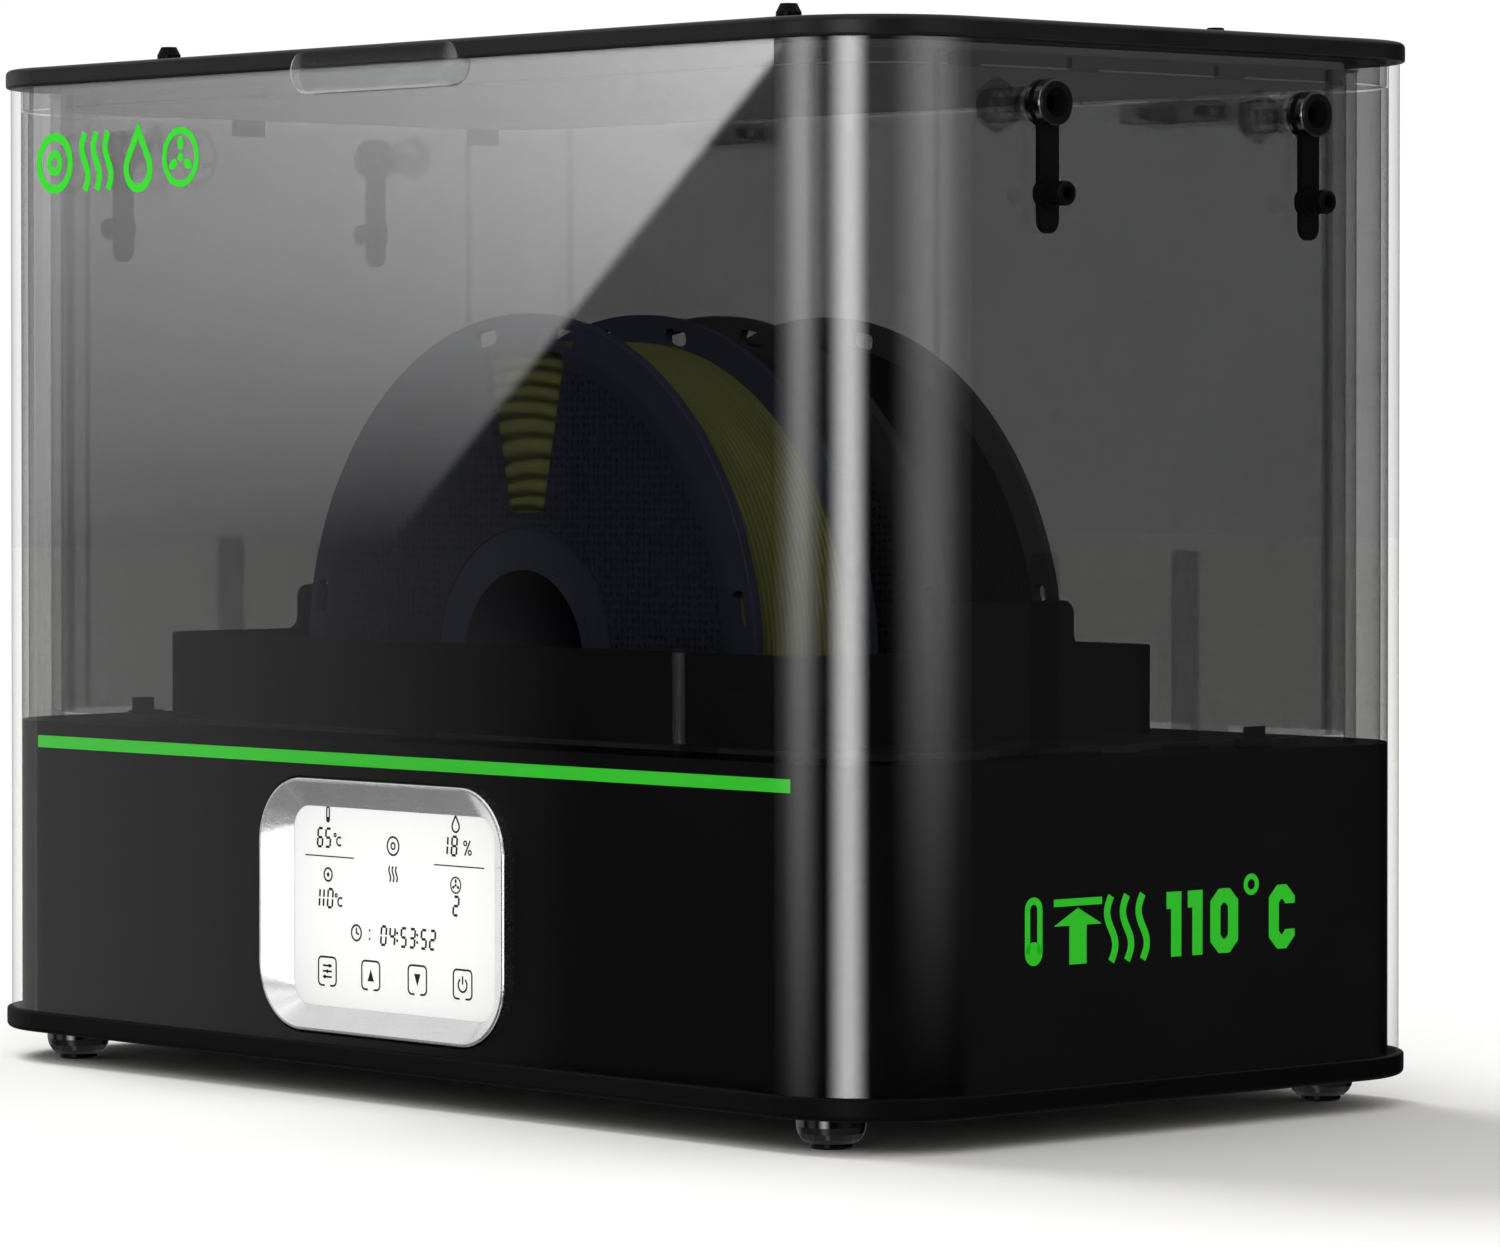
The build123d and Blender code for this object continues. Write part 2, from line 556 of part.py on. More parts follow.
def hinge_lid_leaf(x):
    lid_edge = REAR + PLATE_OVERHANG + 0.1
    top = block(x - HINGE_HALF, x + HINGE_HALF, 96, lid_edge + 1.6, LID_TOP, LID_TOP + 1.4)
    back = block(x - HINGE_HALF, x + HINGE_HALF, lid_edge, lid_edge + 1.6, 295.2, LID_TOP + 1.4)
    web = block(x - KNUCKLE_HALF, x + KNUCKLE_HALF, lid_edge, HINGE_AXIS_Y + 1, HINGE_AXIS_Z + 1, 296.5)
    knuckle = rod_x(HINGE_AXIS_Y, HINGE_AXIS_Z, KNUCKLE_RADIUS, x - KNUCKLE_HALF, x + KNUCKLE_HALF)
    leaf = top + back + web + knuckle
    for step in (-12, 12):
        leaf -= rod_z(x + step, 103, SCREW_RADIUS + 0.2, LID_TOP - 1, LID_TOP + 3)
    return leaf - rod_x(HINGE_AXIS_Y, HINGE_AXIS_Z, 1.5 + RUNNING_GAP, x - 30, x + 30)


def hinge_pin(x):
    return rod_x(HINGE_AXIS_Y, HINGE_AXIS_Z, 1.5, x - HINGE_HALF, x + HINGE_HALF)


def hinge_case_screw(x):
    shank = rod_y(x, HINGE_SCREW_Z, SCREW_RADIUS, REAR - 11, REAR + 2)
    return shank + rod_y(x, HINGE_SCREW_Z, 2.7, REAR + 2, REAR + 3.4)


def hinge_lid_screw(x):
    shank = rod_z(x, 103, SCREW_RADIUS, LID_TOP - 3.5, LID_TOP + 1.4)
    return shank + rod_z(x, 103, 2.7, LID_TOP + 1.4, LID_TOP + 2.8)


# ---- display ------------------------------------------------------------------------------------
def rounded_face(y, half_width, low, top, radius):
    outline = Plane.XZ * RectangleRounded(2 * half_width, top - low, radius)
    return Pos(0, y, (low + top) / 2) * outline


def display_bezel():
    """A dished frame with a thin rim: it slopes inwards to the screen and has a sleeve behind."""
    rim = 1.0
    frame = front_block(-BEZEL_HALF_WIDTH, BEZEL_HALF_WIDTH, BEZEL_LOW, BEZEL_TOP, BEZEL_FRONT, BEZEL_BACK,
                        BEZEL_CORNER)
    frame = fillet(frame.edges().group_by(Axis.Y)[0], 0.6)
    frame += front_block(-SLEEVE_HALF_WIDTH, SLEEVE_HALF_WIDTH, SLEEVE_LOW, SLEEVE_TOP,
                         BEZEL_BACK - 0.5, FRONT + 8.0, SLEEVE_CORNER - 0.3)
    frame -= loft([
        rounded_face(BEZEL_FRONT - 0.01, BEZEL_HALF_WIDTH - rim, BEZEL_LOW + rim, BEZEL_TOP - rim,
                     BEZEL_CORNER - rim),
        rounded_face(SCREEN_FACE - 0.2, SCREEN_HALF_WIDTH, SCREEN_LOW, SCREEN_TOP, SCREEN_CORNER),
    ])
    frame -= front_block(-SCREEN_HALF_WIDTH, SCREEN_HALF_WIDTH, SCREEN_LOW, SCREEN_TOP,
                         SCREEN_FACE - 0.3, SCREEN_FACE + 0.1, SCREEN_CORNER)
    pocket = SCREEN_HALF_WIDTH + 1.5
    frame -= front_block(-pocket, pocket, SCREEN_LOW - 1.5, SCREEN_TOP + 1.5, SCREEN_FACE, FRONT + 9,
                         SCREEN_CORNER)
    return frame


def display_screen():
    return front_block(-SCREEN_HALF_WIDTH - 1.4, SCREEN_HALF_WIDTH + 1.4, SCREEN_LOW - 1.4, SCREEN_TOP + 1.4,
                       SCREEN_FACE, SCREEN_FACE + 1.6, SCREEN_CORNER)


def control_board():
    """The printed board behind the screen, with its processor, relay, connectors and buzzer."""
    back = SCREEN_FACE + 3.6
    board = block(-44, 44, back, back + 1.6, 27, 81)
    board += block(-8, 8, back + 1.5, back + 3.2, 46, 62)
    board += block(20, 38, back + 1.5, back + 12, 56, 70)
    board += block(-38, -24, back + 1.5, back + 7, 31, 38)
    board += block(22, 36, back + 1.5, back + 7, 31, 38)
    board += rod_y(-28, 62, 6, back + 1.5, back + 9)
    return board


def touch_pads():
    """Four sprung sensing discs between the board and the screen."""
    low = SCREEN_FACE + 1.7
    return [rod_y(x, 35.3, 3.6, low, low + 1.8) for x in (-15.5, 4.8, 25.0, 45.0 - 4.5)]


def accent_strip():
    return block(-168, 168, FRONT + HOUSING_INSET, FRONT + HOUSING_INSET + 0.8, 94.3, 97.9)


# ---- heating, air and power ---------------------------------------------------------------------
def fan_frame():
    low = BASE_TOP + 3
    frame = rounded_block(FAN_X - FAN_HALF, FAN_X + FAN_HALF, -FAN_HALF, FAN_HALF, low, low + 20, 4)
    frame -= rod_z(FAN_X, 0, FAN_HALF - 3, low - 1, low + 21)
    for angle in (0, 120, 240):
        strut = Rot(0, 0, angle) * block(8, FAN_HALF - 2, -2, 2, low, low + 2)
        frame += Pos(FAN_X, 0, 0) * strut
    frame += rod_z(FAN_X, 0, 11, low, low + 2)
    frame += rod_z(FAN_X, 0, 2, low, low + 13.5)
    corner = FAN_HALF - 4.5
    for x, y in ((corner, corner), (corner, -corner), (-corner, corner), (-corner, -corner)):
        frame += rod_z(FAN_X + x, y, 3, BASE_TOP, low)
    return frame


def fan_rotor():
    """A hub that turns on the frame's pin, with seven pitched blades."""
    low = BASE_TOP + 5.6
    rotor = rod_z(FAN_X, 0, 13, low, low + 13)
    for index in range(7):
        blade = Pos(21.6, 0, low + 6.5) * Rot(35, 0, 0) * Box(19, 15, 1.6)
        rotor += Pos(FAN_X, 0, 0) * Rot(0, 0, index * 360 / 7) * blade
    return rotor - rod_z(FAN_X, 0, 2 + RUNNING_GAP, low - 1, low + 12)


def heater_block():
    """A heating core: two end bars joined by thin upright fins."""
    fin_count = 12
    x0 = FAN_X - HEATER_HALF_Y + 1
    x1 = FAN_X + HEATER_HALF_Y - 1
    fin_pitch = (x1 - x0 - 3.2) / (fin_count - 1)
    core = block(x0, x1, -HEATER_HALF_Y, -HEATER_HALF_Y + 6, HEATER_LOW, HEATER_HIGH)
    core += block(x0, x1, HEATER_HALF_Y - 6, HEATER_HALF_Y, HEATER_LOW, HEATER_HIGH)
    for index in range(fin_count):
        x = x0 + 1 + index * fin_pitch
        core += block(x, x + 1.2, -HEATER_HALF_Y + 5, HEATER_HALF_Y - 5, HEATER_LOW + 1, HEATER_HIGH - 1)
    return core


def duct_section(grow, z, x0, x1, half_y):
    return Pos((x0 + x1) / 2, 0, z) * Rectangle(x1 - x0 + 2 * grow, 2 * (half_y + grow))


def air_duct():
    """A tapered duct from the heating core up to the outlet in the housing deck."""
    low = HEATER_HIGH + 0.1
    high = DECK_LOW - 0.1
    inlet = (FAN_X - HEATER_HALF_Y + 1, FAN_X + HEATER_HALF_Y - 1, HEATER_HALF_Y)
    outlet = (OUTLET_LEFT, OUTLET_RIGHT, OUTLET_HALF_Y)
    outside = loft([duct_section(0, low, *inlet), duct_section(2, high, *outlet)])
    inside = loft([duct_section(-2, low, *inlet), duct_section(0, high, *outlet)])
    return outside - inside


def power_board():
    """The supply board on standoffs, with a transformer, a capacitor, a heat sink and terminals."""
    board = block(-52, 62, 70, 104, 23, 24.6)
    for x in (-47, 57):
        for y in (74, 94):
            board += rod_z(x, y, 2.6, BASE_TOP, 23)
    board += block(-30, 2, 74, 100, 24.5, 50)
    board += rod_z(20, 86, 8, 24.5, 52)
    board += block(36, 40, 73, 101, 24.5, 60)
    board += block(46, 60, 74, 92, 24.5, 38)
    return board


def power_socket():
    """A mains inlet: a flange outside the shell and a body through both walls, with three blades."""
    flange = front_block(SOCKET_X - 16, SOCKET_X + 16, POWER_Z - 12.5, POWER_Z + 12.5, REAR, REAR + 2, 3)
    body = block(SOCKET_X - 13.4, SOCKET_X + 13.4, REAR - 22, REAR + 1, POWER_Z - 9.9, POWER_Z + 9.9)
    socket = flange + body
    socket -= front_block(SOCKET_X - 11.8, SOCKET_X + 11.8, POWER_Z - 7.8, POWER_Z + 7.8,
                          REAR - 14, REAR + 3, 3)
    for step_x, step_z in ((-7, -2), (0, 2), (7, -2)):
        x = SOCKET_X + step_x
        z = POWER_Z + step_z
        socket += block(x - 1, x + 1, REAR - 15, REAR - 1, z - 2.5, z + 2.5)
    return socket


def switch_frame():
    flange = front_block(SWITCH_X - 9, SWITCH_X + 9, POWER_Z - 12, POWER_Z + 12, REAR, REAR + 1.6, 2)
    body = block(SWITCH_X - 7.4, SWITCH_X + 7.4, REAR - 18, REAR + 1, POWER_Z - 10.4, POWER_Z + 10.4)
    frame = flange + body
    return frame - block(SWITCH_X - 6, SWITCH_X + 6, REAR - 10, REAR + 3, POWER_Z - 9.4, POWER_Z + 9.4)


ROCKER_TILT = 9.0


def switch_rocker():
    """The rocker, built level and then tipped to its off position."""
    level = block(-5.8, 5.8, -6, 2.6, -8.6, 8.6)
    level -= rod_x(14, 0, 13.2, -10, 10)
    level = fillet(level.edges().filter_by(Axis.X), 0.6)
    return Pos(SWITCH_X, REAR, POWER_Z) * Rot(ROCKER_TILT, 0, 0) * level


def sensor_module():
    """The humidity and temperature sensor in its slotted case, in the tray's left pocket."""
    case = rounded_block(-119, -109, 30, 46, FLOOR_TOP + 2, FLOOR_TOP + 17, 1.5)
    for step in (4, 7, 10):
        case -= block(-120, -117.5, 33, 43, FLOOR_TOP + 2 + step, FLOOR_TOP + 3.4 + step)
    return case


def cable(radius, *points):
    """One round cable that follows straight runs with rounded bends."""
    path = FilletPolyline(*points, radius=4)
    section = Plane(origin=path @ 0, z_dir=path % 0) * Circle(radius)
    return sweep(section, path)


def cables():
    mains = cable(1.8, (SOCKET_X, REAR - 22.2, POWER_Z), (SOCKET_X, 76, POWER_Z), (-62, 76, POWER_Z),
                  (-62, 76, 28), (-52.2, 76, 28))
    heater = cable(1.5, (53, 92.2, 34), (53, 101.5, 34), (102, 101.5, 34), (102, 86, 34), (102, 86, 56),
                   (130, 86, 56), (130, HEATER_HALF_Y + 0.2, 56))
    signal = cable(1.2, (-31, SCREEN_FACE + 11, 34.5), (-31, -84, 34.5), (-116, -84, 34.5), (-116, 60, 34.5))
    return [mains, heater, signal]


# ---- build every sub-part -----------------------------------------------------------------------
os.makedirs("parts", exist_ok=True)

save("base_plate", base_plate())
save("foot_cups", *[foot_cup(x, y) for x, y in FOOT_PLACES])
save("foot_pads", *[foot_pad(x, y) for x, y in FOOT_PLACES])
save("foot_screws", *[screw_up(x, y, 3.0, 4.9, 32) for x, y in FOOT_PLACES])
save("housing_screws", *[screw_up(x, y, FOOT_HEIGHT + 0.3, FOOT_HEIGHT + 2.1, 32) for x, y in COLUMN_PLACES])
save("lower_housing", lower_housing())
save("chamber_floor", chamber_floor())
save("floor_clips", *[floor_clip(x, y) for x in (-182, 182) for y in (-58, 0, 54)])
save("guide_posts", *[guide_post(x, y) for x in (-180, 180) for y in (-27, 27)])
save("spool_tray", spool_tray())
save("roller_axles", roller_axle(-ROLLER_X), roller_axle(ROLLER_X))
for row_name, row_y in (("front", -SPOOL_OFFSET), ("rear", SPOOL_OFFSET)):
    save(f"roller_{row_name}_left", roller(-ROLLER_X, row_y))
    save(f"roller_{row_name}_right", roller(ROLLER_X, row_y))
    save(f"spool_{row_name}", spool(row_y))
    save(f"filament_{row_name}", winding(row_y))

save("outer_shell", outer_shell())
save("inner_shell", inner_shell())
save("chamber_liner", *chamber_liner())
right_tubes = [port_tube(-PORT_Y), port_tube(PORT_Y)]
right_nuts = [port_nut(-PORT_Y), port_nut(PORT_Y)]
save("port_tubes", *right_tubes, *[mirror_x(tube) for tube in right_tubes])
save("port_nuts", *right_nuts, *[mirror_x(nut) for nut in right_nuts])
for row_name, row_y in (("front", -PORT_Y), ("rear", PORT_Y)):
    save(f"stopper_{row_name}_right", stopper(row_y))
    save(f"stopper_{row_name}_left", mirror_x(stopper(row_y)))

save("lid_plate", lid_plate())
save("lid_skirt", lid_skirt())
save("lid_seal", lid_seal())
save("lid_pegs", *[lid_peg(x, y) for x, y in PEG_PLACES])
save("lid_pull", lid_pull())
save("hinge_blocks", hinge_block(-HINGE_X), hinge_block(HINGE_X))
save("hinge_case_leaves", hinge_case_leaf(-HINGE_X), hinge_case_leaf(HINGE_X))
save("hinge_lid_leaves", hinge_lid_leaf(-HINGE_X), hinge_lid_leaf(HINGE_X))
save("hinge_pins", hinge_pin(-HINGE_X), hinge_pin(HINGE_X))
save("hinge_case_screws", *[hinge_case_screw(x) for x in HINGE_SCREW_PLACES])
save("hinge_lid_screws", *[hinge_lid_screw(x) for x in HINGE_SCREW_PLACES])

save("display_bezel", display_bezel())
save("display_screen", display_screen())
save("control_board", control_board())
save("touch_pads", *touch_pads())
save("accent_strip", accent_strip())
save("fan_frame", fan_frame())
save("fan_rotor", fan_rotor())
save("heater_block", heater_block())
save("air_duct", air_duct())
save("power_board", power_board())
save("power_socket", power_socket())
save("switch_frame", switch_frame())
save("switch_rocker", switch_rocker())
save("sensor_module", sensor_module())
save("cables", *cables())
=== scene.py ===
"""Looks of the filament dryer box: materials, printed marks, wound filament, studio light and camera.

Lengths are metres in the CAD frame: +X to the right along the front, front face towards -Y, +Z up.
"""
import json
import math

import bmesh
import bpy
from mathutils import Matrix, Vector


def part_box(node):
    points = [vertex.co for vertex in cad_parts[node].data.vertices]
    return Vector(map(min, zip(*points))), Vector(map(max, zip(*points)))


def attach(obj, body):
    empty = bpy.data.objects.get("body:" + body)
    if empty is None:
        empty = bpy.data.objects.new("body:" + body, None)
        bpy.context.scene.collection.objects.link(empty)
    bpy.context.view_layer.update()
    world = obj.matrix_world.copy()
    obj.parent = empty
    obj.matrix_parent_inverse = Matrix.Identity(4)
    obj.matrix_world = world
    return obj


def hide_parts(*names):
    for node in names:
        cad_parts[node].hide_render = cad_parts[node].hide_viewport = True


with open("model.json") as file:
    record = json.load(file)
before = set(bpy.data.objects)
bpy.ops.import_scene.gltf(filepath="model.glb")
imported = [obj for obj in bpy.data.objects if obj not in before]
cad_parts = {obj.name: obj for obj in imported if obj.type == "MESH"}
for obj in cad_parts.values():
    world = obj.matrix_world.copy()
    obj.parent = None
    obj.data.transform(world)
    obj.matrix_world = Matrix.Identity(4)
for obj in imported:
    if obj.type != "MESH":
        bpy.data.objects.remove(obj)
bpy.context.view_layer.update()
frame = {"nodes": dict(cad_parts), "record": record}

MM = 0.001
NODES = frame["nodes"]

# ---- camera and studio ---------------------------------------------------------------------------
CAMERA_PLACE = Vector((1.449, -1.2714, 0.1908))
CAMERA_TURN = 48.12            # degrees about Z, from looking along +Y towards looking along -X
CAMERA_DIP = 0.86              # degrees below the horizon
CAMERA_SHIFT = -0.0659         # the rest of the downward view, without turning uprights
CAMERA_LENS = 158.3            # for a sensor 36 mm wide
KEY_TILT = 40.0                # degrees of the key light from straight overhead, towards -X
KEY_STRENGTH = 2.1
KEY_SPREAD = 30.0              # degrees across, which sets how soft the shadow is
FILL_STRENGTH = 9.0
INSIDE_STRENGTH = 1.9
INSIDE_PIECES = ("spool_front", "spool_rear", "winding_front", "winding_rear", "spool_tray",
                 "chamber_floor", "floor_clips")   # what the inside light shines on
AMBIENT = (0.70, 0.69, 0.665)

# ---- places that the looks follow ----------------------------------------------------------------
PORT_ASIDE = 50.0 * MM               # of a port's axis from the middle of the side wall
PORT_BORE = 4.05 * MM                # radius inside which a port is dark
PORT_COLLAR = 5.25 * MM              # radius outside which its collar shines
# the tray's rib is polished and also gets a painted highlight of lighter colour
TRAY_RIB_X = 88.0 * MM               # the polished rib on the tray's front
PAN_BOTTOM = 285.8 * MM
PAN_CORNER = 21.7 * MM
PAN_GAP = 3.5 * MM                   # from the liner's outer face to the plate under the lid

# ---- see-through walls ---------------------------------------------------------------------------
CLEAR_PASS = (0.93, 0.935, 0.93)     # share of light through one whole wall
SMOKED_PASS = (0.55, 0.55, 0.55)
LINER_PASS = (0.578, 0.578, 0.58)
WALL_MIRROR = 0.08                   # head-on mirror share of one wall, both faces together

PRINT_THICKNESS = 0.06 * MM
SOFTBOX_SLOPE = 0.804                # rise over run of the softbox's cut-off edge in the front wall
SOFTBOX_FOOT_X = 20.0 * MM           # a point of that edge
SOFTBOX_FOOT_Z = 170.0 * MM
# painted glow: the plate under the lid is given light of its own
PAN_GLOW = 0.30                      # faint light on the plate under the lid, which no light reaches


# ---- node helpers --------------------------------------------------------------------------------
class Graph:
    """A node tree with short calls for the nodes that the materials here are made of."""

    def __init__(self, tree):
        self.tree = tree
        tree.nodes.clear()

    def node(self, kind, inputs=None, **settings):
        made = self.tree.nodes.new(kind)
        for key, value in settings.items():
            setattr(made, key, value)
        for key, value in (inputs or {}).items():
            self.feed(made.inputs[key], value)
        return made

    def feed(self, socket, value):
        if isinstance(value, bpy.types.NodeSocket):
            self.tree.links.new(value, socket)
        elif isinstance(value, tuple) and len(value) == 3 and socket.type == "RGBA":
            socket.default_value = (*value, 1.0)
        else:
            socket.default_value = value

    def math(self, operation, a, b=0.0, c=0.0, clamp=False):
        inputs = {0: a, 1: b, 2: c}
        return self.node("ShaderNodeMath", inputs, operation=operation, use_clamp=clamp).outputs[0]

    def dot(self, a, b):
        return self.node("ShaderNodeVectorMath", {0: a, 1: b}, operation="DOT_PRODUCT").outputs["Value"]

    def length(self, a, b):
        """The length of a flat vector from its two parts."""
        return self.math("SQRT", self.math("ADD", self.math("MULTIPLY", a, a), self.math("MULTIPLY", b, b)))

    def smooth(self, value, low, high, start=0.0, end=1.0):
        """Goes smoothly from start to end while value goes from low to high."""
        inputs = {"Value": value, "From Min": low, "From Max": high, "To Min": start, "To Max": end}
        return self.node("ShaderNodeMapRange", inputs, interpolation_type="SMOOTHSTEP").outputs["Result"]

    def straight(self, value, low, high, start=0.0, end=1.0):
        inputs = {"Value": value, "From Min": low, "From Max": high, "To Min": start, "To Max": end}
        return self.node("ShaderNodeMapRange", inputs).outputs["Result"]

    def mix(self, share, a, b):
        made = self.node("ShaderNodeMix", data_type="RGBA")
        self.feed(made.inputs[0], share)
        self.feed(made.inputs[6], a)
        self.feed(made.inputs[7], b)
        return made.outputs[2]

    def place(self, stretch=(1.0, 1.0, 1.0)):
        """The point being shaded, in the CAD frame at rest, stretched along each axis."""
        where = self.node("ShaderNodeTexCoord").outputs["Object"]
        if stretch == (1.0, 1.0, 1.0):
            return where
        return self.node("ShaderNodeMapping", {"Vector": where, "Scale": stretch}).outputs[0]

    def noise(self, scale, detail=3.0, stretch=(1.0, 1.0, 1.0), roughness=0.55):
        inputs = {"Vector": self.place(stretch), "Scale": scale, "Detail": detail, "Roughness": roughness}
        return self.node("ShaderNodeTexNoise", inputs).outputs["Fac"]

    def bump(self, height, depth, strength=1.0, normal=None):
        inputs = {"Height": height, "Distance": depth, "Strength": strength}
        if normal is not None:
            inputs["Normal"] = normal
        return self.node("ShaderNodeBump", inputs).outputs["Normal"]

    def principled(self, **inputs):
        named = {key.replace("_", " "): value for key, value in inputs.items()}
        return self.node("ShaderNodeBsdfPrincipled", named)

    def surface(self, shader):
        output = self.node("ShaderNodeOutputMaterial")
        self.tree.links.new(shader, output.inputs["Surface"])


def material(name):
    """A new empty material and its graph."""
    made = bpy.data.materials.new(name)
    made.use_nodes = True
    return made, Graph(made.node_tree)


# ---- materials -----------------------------------------------------------------------------------
def moulded(name, colour, roughness, grain=1500.0, grain_depth=0.02, specular=0.5, mottle=0.25, coat=0.0):
    """Moulded plastic: faint mottling in colour and shine, and a fine spark-eroded grain."""
    made, g = material(name)
    broad = g.noise(22.0, 4.0)
    fine = g.noise(grain, 2.0)
    dark = tuple(c * (1 - mottle) for c in colour)
    light = tuple(c * (1 + mottle) for c in colour)
    shade = g.mix(g.straight(broad, 0.3, 0.7), dark, light)
    shine = g.straight(broad, 0.3, 0.7, roughness * 0.85, min(1.0, roughness * 1.15))
    shader = g.principled(Base_Color=shade, Roughness=shine, Specular_IOR_Level=specular, Coat_Weight=coat,
                          Coat_Roughness=0.12, Normal=g.bump(fine, grain_depth * MM))
    g.surface(shader.outputs[0])
    return made


def metal(name, colour, roughness, streak=(1.0, 1.0, 1.0), streak_scale=900.0, depth=0.01, share=1.0):
    """Machined or brushed metal: streaks along one axis break up its shine."""
    made, g = material(name)
    streaks = g.noise(streak_scale, 3.0, streak)
    broad = g.noise(40.0, 3.0)
    shade = g.mix(g.straight(broad, 0.3, 0.7), tuple(c * 0.9 for c in colour), colour)
    shine = g.straight(streaks, 0.25, 0.75, roughness * 0.75, roughness * 1.25)
    shader = g.principled(Base_Color=shade, Roughness=shine, Metallic=share,
                          Normal=g.bump(streaks, depth * MM))
    g.surface(shader.outputs[0])
    return made


def see_through(name, passed, mirror=WALL_MIRROR, haze=0.010):
    """An acrylic wall: each face passes the root of the wall's share of light, and the outer face mirrors."""
    made, g = material(name)
    geometry = g.node("ShaderNodeNewGeometry")
    facing = g.math("ABSOLUTE", g.dot(geometry.outputs["Incoming"], geometry.outputs["Normal"]))
    graze = g.math("POWER", g.math("SUBTRACT", 1.0, facing, clamp=True), 5.0)
    mirrored = g.math("MULTIPLY_ADD", graze, 1.0 - mirror, mirror, clamp=True)
    mirrored = g.math("MULTIPLY", mirrored, g.math("SUBTRACT", 1.0, geometry.outputs["Backfacing"]))
    smear = g.noise(9.0, 3.0, (1.0, 1.0, 2.4))
    per_face = tuple(math.sqrt(c) for c in passed)
    tint = g.mix(g.straight(smear, 0.3, 0.7), tuple(c * 0.985 for c in per_face), per_face)
    clear = g.node("ShaderNodeBsdfTransparent", {"Color": tint})
    gloss = g.node("ShaderNodeBsdfGlossy", {"Roughness": g.straight(smear, 0.3, 0.7, haze * 0.7, haze * 1.3)})
    both = g.node("ShaderNodeMixShader", {0: mirrored, 1: clear.outputs[0], 2: gloss.outputs[0]})
    g.surface(both.outputs[0])
    return made


def cast_clear(name):
    """A thick clear bar: clear where it faces the viewer, with a painted highlight of pale colour along its
    ends and lower edge where it turns away.
    """
    made, g = material(name)
    geometry = g.node("ShaderNodeNewGeometry")
    facing = g.dot(geometry.outputs["Incoming"], geometry.outputs["True Normal"])
    turned = g.math("SUBTRACT", 1.0, g.math("ABSOLUTE", facing), clamp=True)
    split = g.node("ShaderNodeSeparateXYZ", {0: g.place()})
    low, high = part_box("lid_pull")
    across = g.math("ABSOLUTE", g.math("SUBTRACT", split.outputs["X"], (low.x + high.x) / 2))
    ends = g.smooth(across, (high.x - low.x) / 2 - 0.0045, (high.x - low.x) / 2 - 0.0005)
    bottom = g.smooth(split.outputs["Z"], low.z + 0.0004, low.z + 0.0026, 1.0, 0.0)
    flow = g.noise(60.0, 2.0, (0.3, 1.0, 1.0))
    # painted highlight: the ends and the lower edge turn into pale diffuse colour where the bar turns away
    # from the viewer
    rim = g.math("MULTIPLY", g.math("MAXIMUM", ends, bottom), g.smooth(turned, 0.45, 0.80, 0.10, 0.85))
    rim = g.math("MULTIPLY", rim, g.straight(flow, 0.3, 0.7, 0.8, 1.1), clamp=True)
    clear = g.node("ShaderNodeBsdfTransparent", {"Color": (0.95, 0.955, 0.955)})
    gloss = g.node("ShaderNodeBsdfGlossy", {"Roughness": 0.04})
    # the pale colour of the painted edge highlight
    glow = g.principled(Base_Color=(0.85, 0.85, 0.85), Roughness=0.2)
    front = g.math("MULTIPLY", g.math("SUBTRACT", 1.0, geometry.outputs["Backfacing"]), 0.018)
    skin = g.node("ShaderNodeMixShader", {0: front, 1: clear.outputs[0], 2: gloss.outputs[0]})
    both = g.node("ShaderNodeMixShader", {0: rim, 1: skin.outputs[0], 2: glow.outputs[0]})
    g.surface(both.outputs[0])
    return made


def lit_white(name):
    """The display's white diffuser, lit from behind and a little brighter towards its middle."""
    made, g = material(name)
    low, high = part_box("display_screen")
    split = g.node("ShaderNodeSeparateXYZ", {0: g.place()})
    middle = (low + high) / 2
    across = g.math("DIVIDE", g.math("SUBTRACT", split.outputs["X"], middle.x), (high.x - low.x) / 2)
    up = g.math("DIVIDE", g.math("SUBTRACT", split.outputs["Z"], middle.z), (high.z - low.z) / 2)
    reach = g.length(across, up)
    glow = g.smooth(reach, 0.5, 1.4, 0.16, 0.10)
    grain = g.noise(2600.0, 1.0)
    tone = g.mix(grain, (0.93, 0.935, 0.94), (0.96, 0.96, 0.96))
    shader = g.principled(Base_Color=tone, Roughness=0.35, Specular_IOR_Level=0.2, Emission_Color=tone,
                          Emission_Strength=glow, Normal=g.bump(grain, 0.004 * MM))
    g.surface(shader.outputs[0])
    return made


def ink(name, colour, glow=0.0):
    """Screen-printed ink: nearly even, with the small thickness changes that a mesh leaves; glow adds a
    painted glow, so the ink shines brighter than the lamps make it.
    """
    made, g = material(name)
    mesh = g.noise(3800.0, 2.0)
    shade = g.mix(g.straight(mesh, 0.3, 0.7), tuple(c * 0.93 for c in colour), colour)
    shader = g.principled(Base_Color=shade, Roughness=0.55, Specular_IOR_Level=0.25, Emission_Color=shade,
                          Emission_Strength=glow, Normal=g.bump(mesh, 0.006 * MM))
    g.surface(shader.outputs[0])
    return made


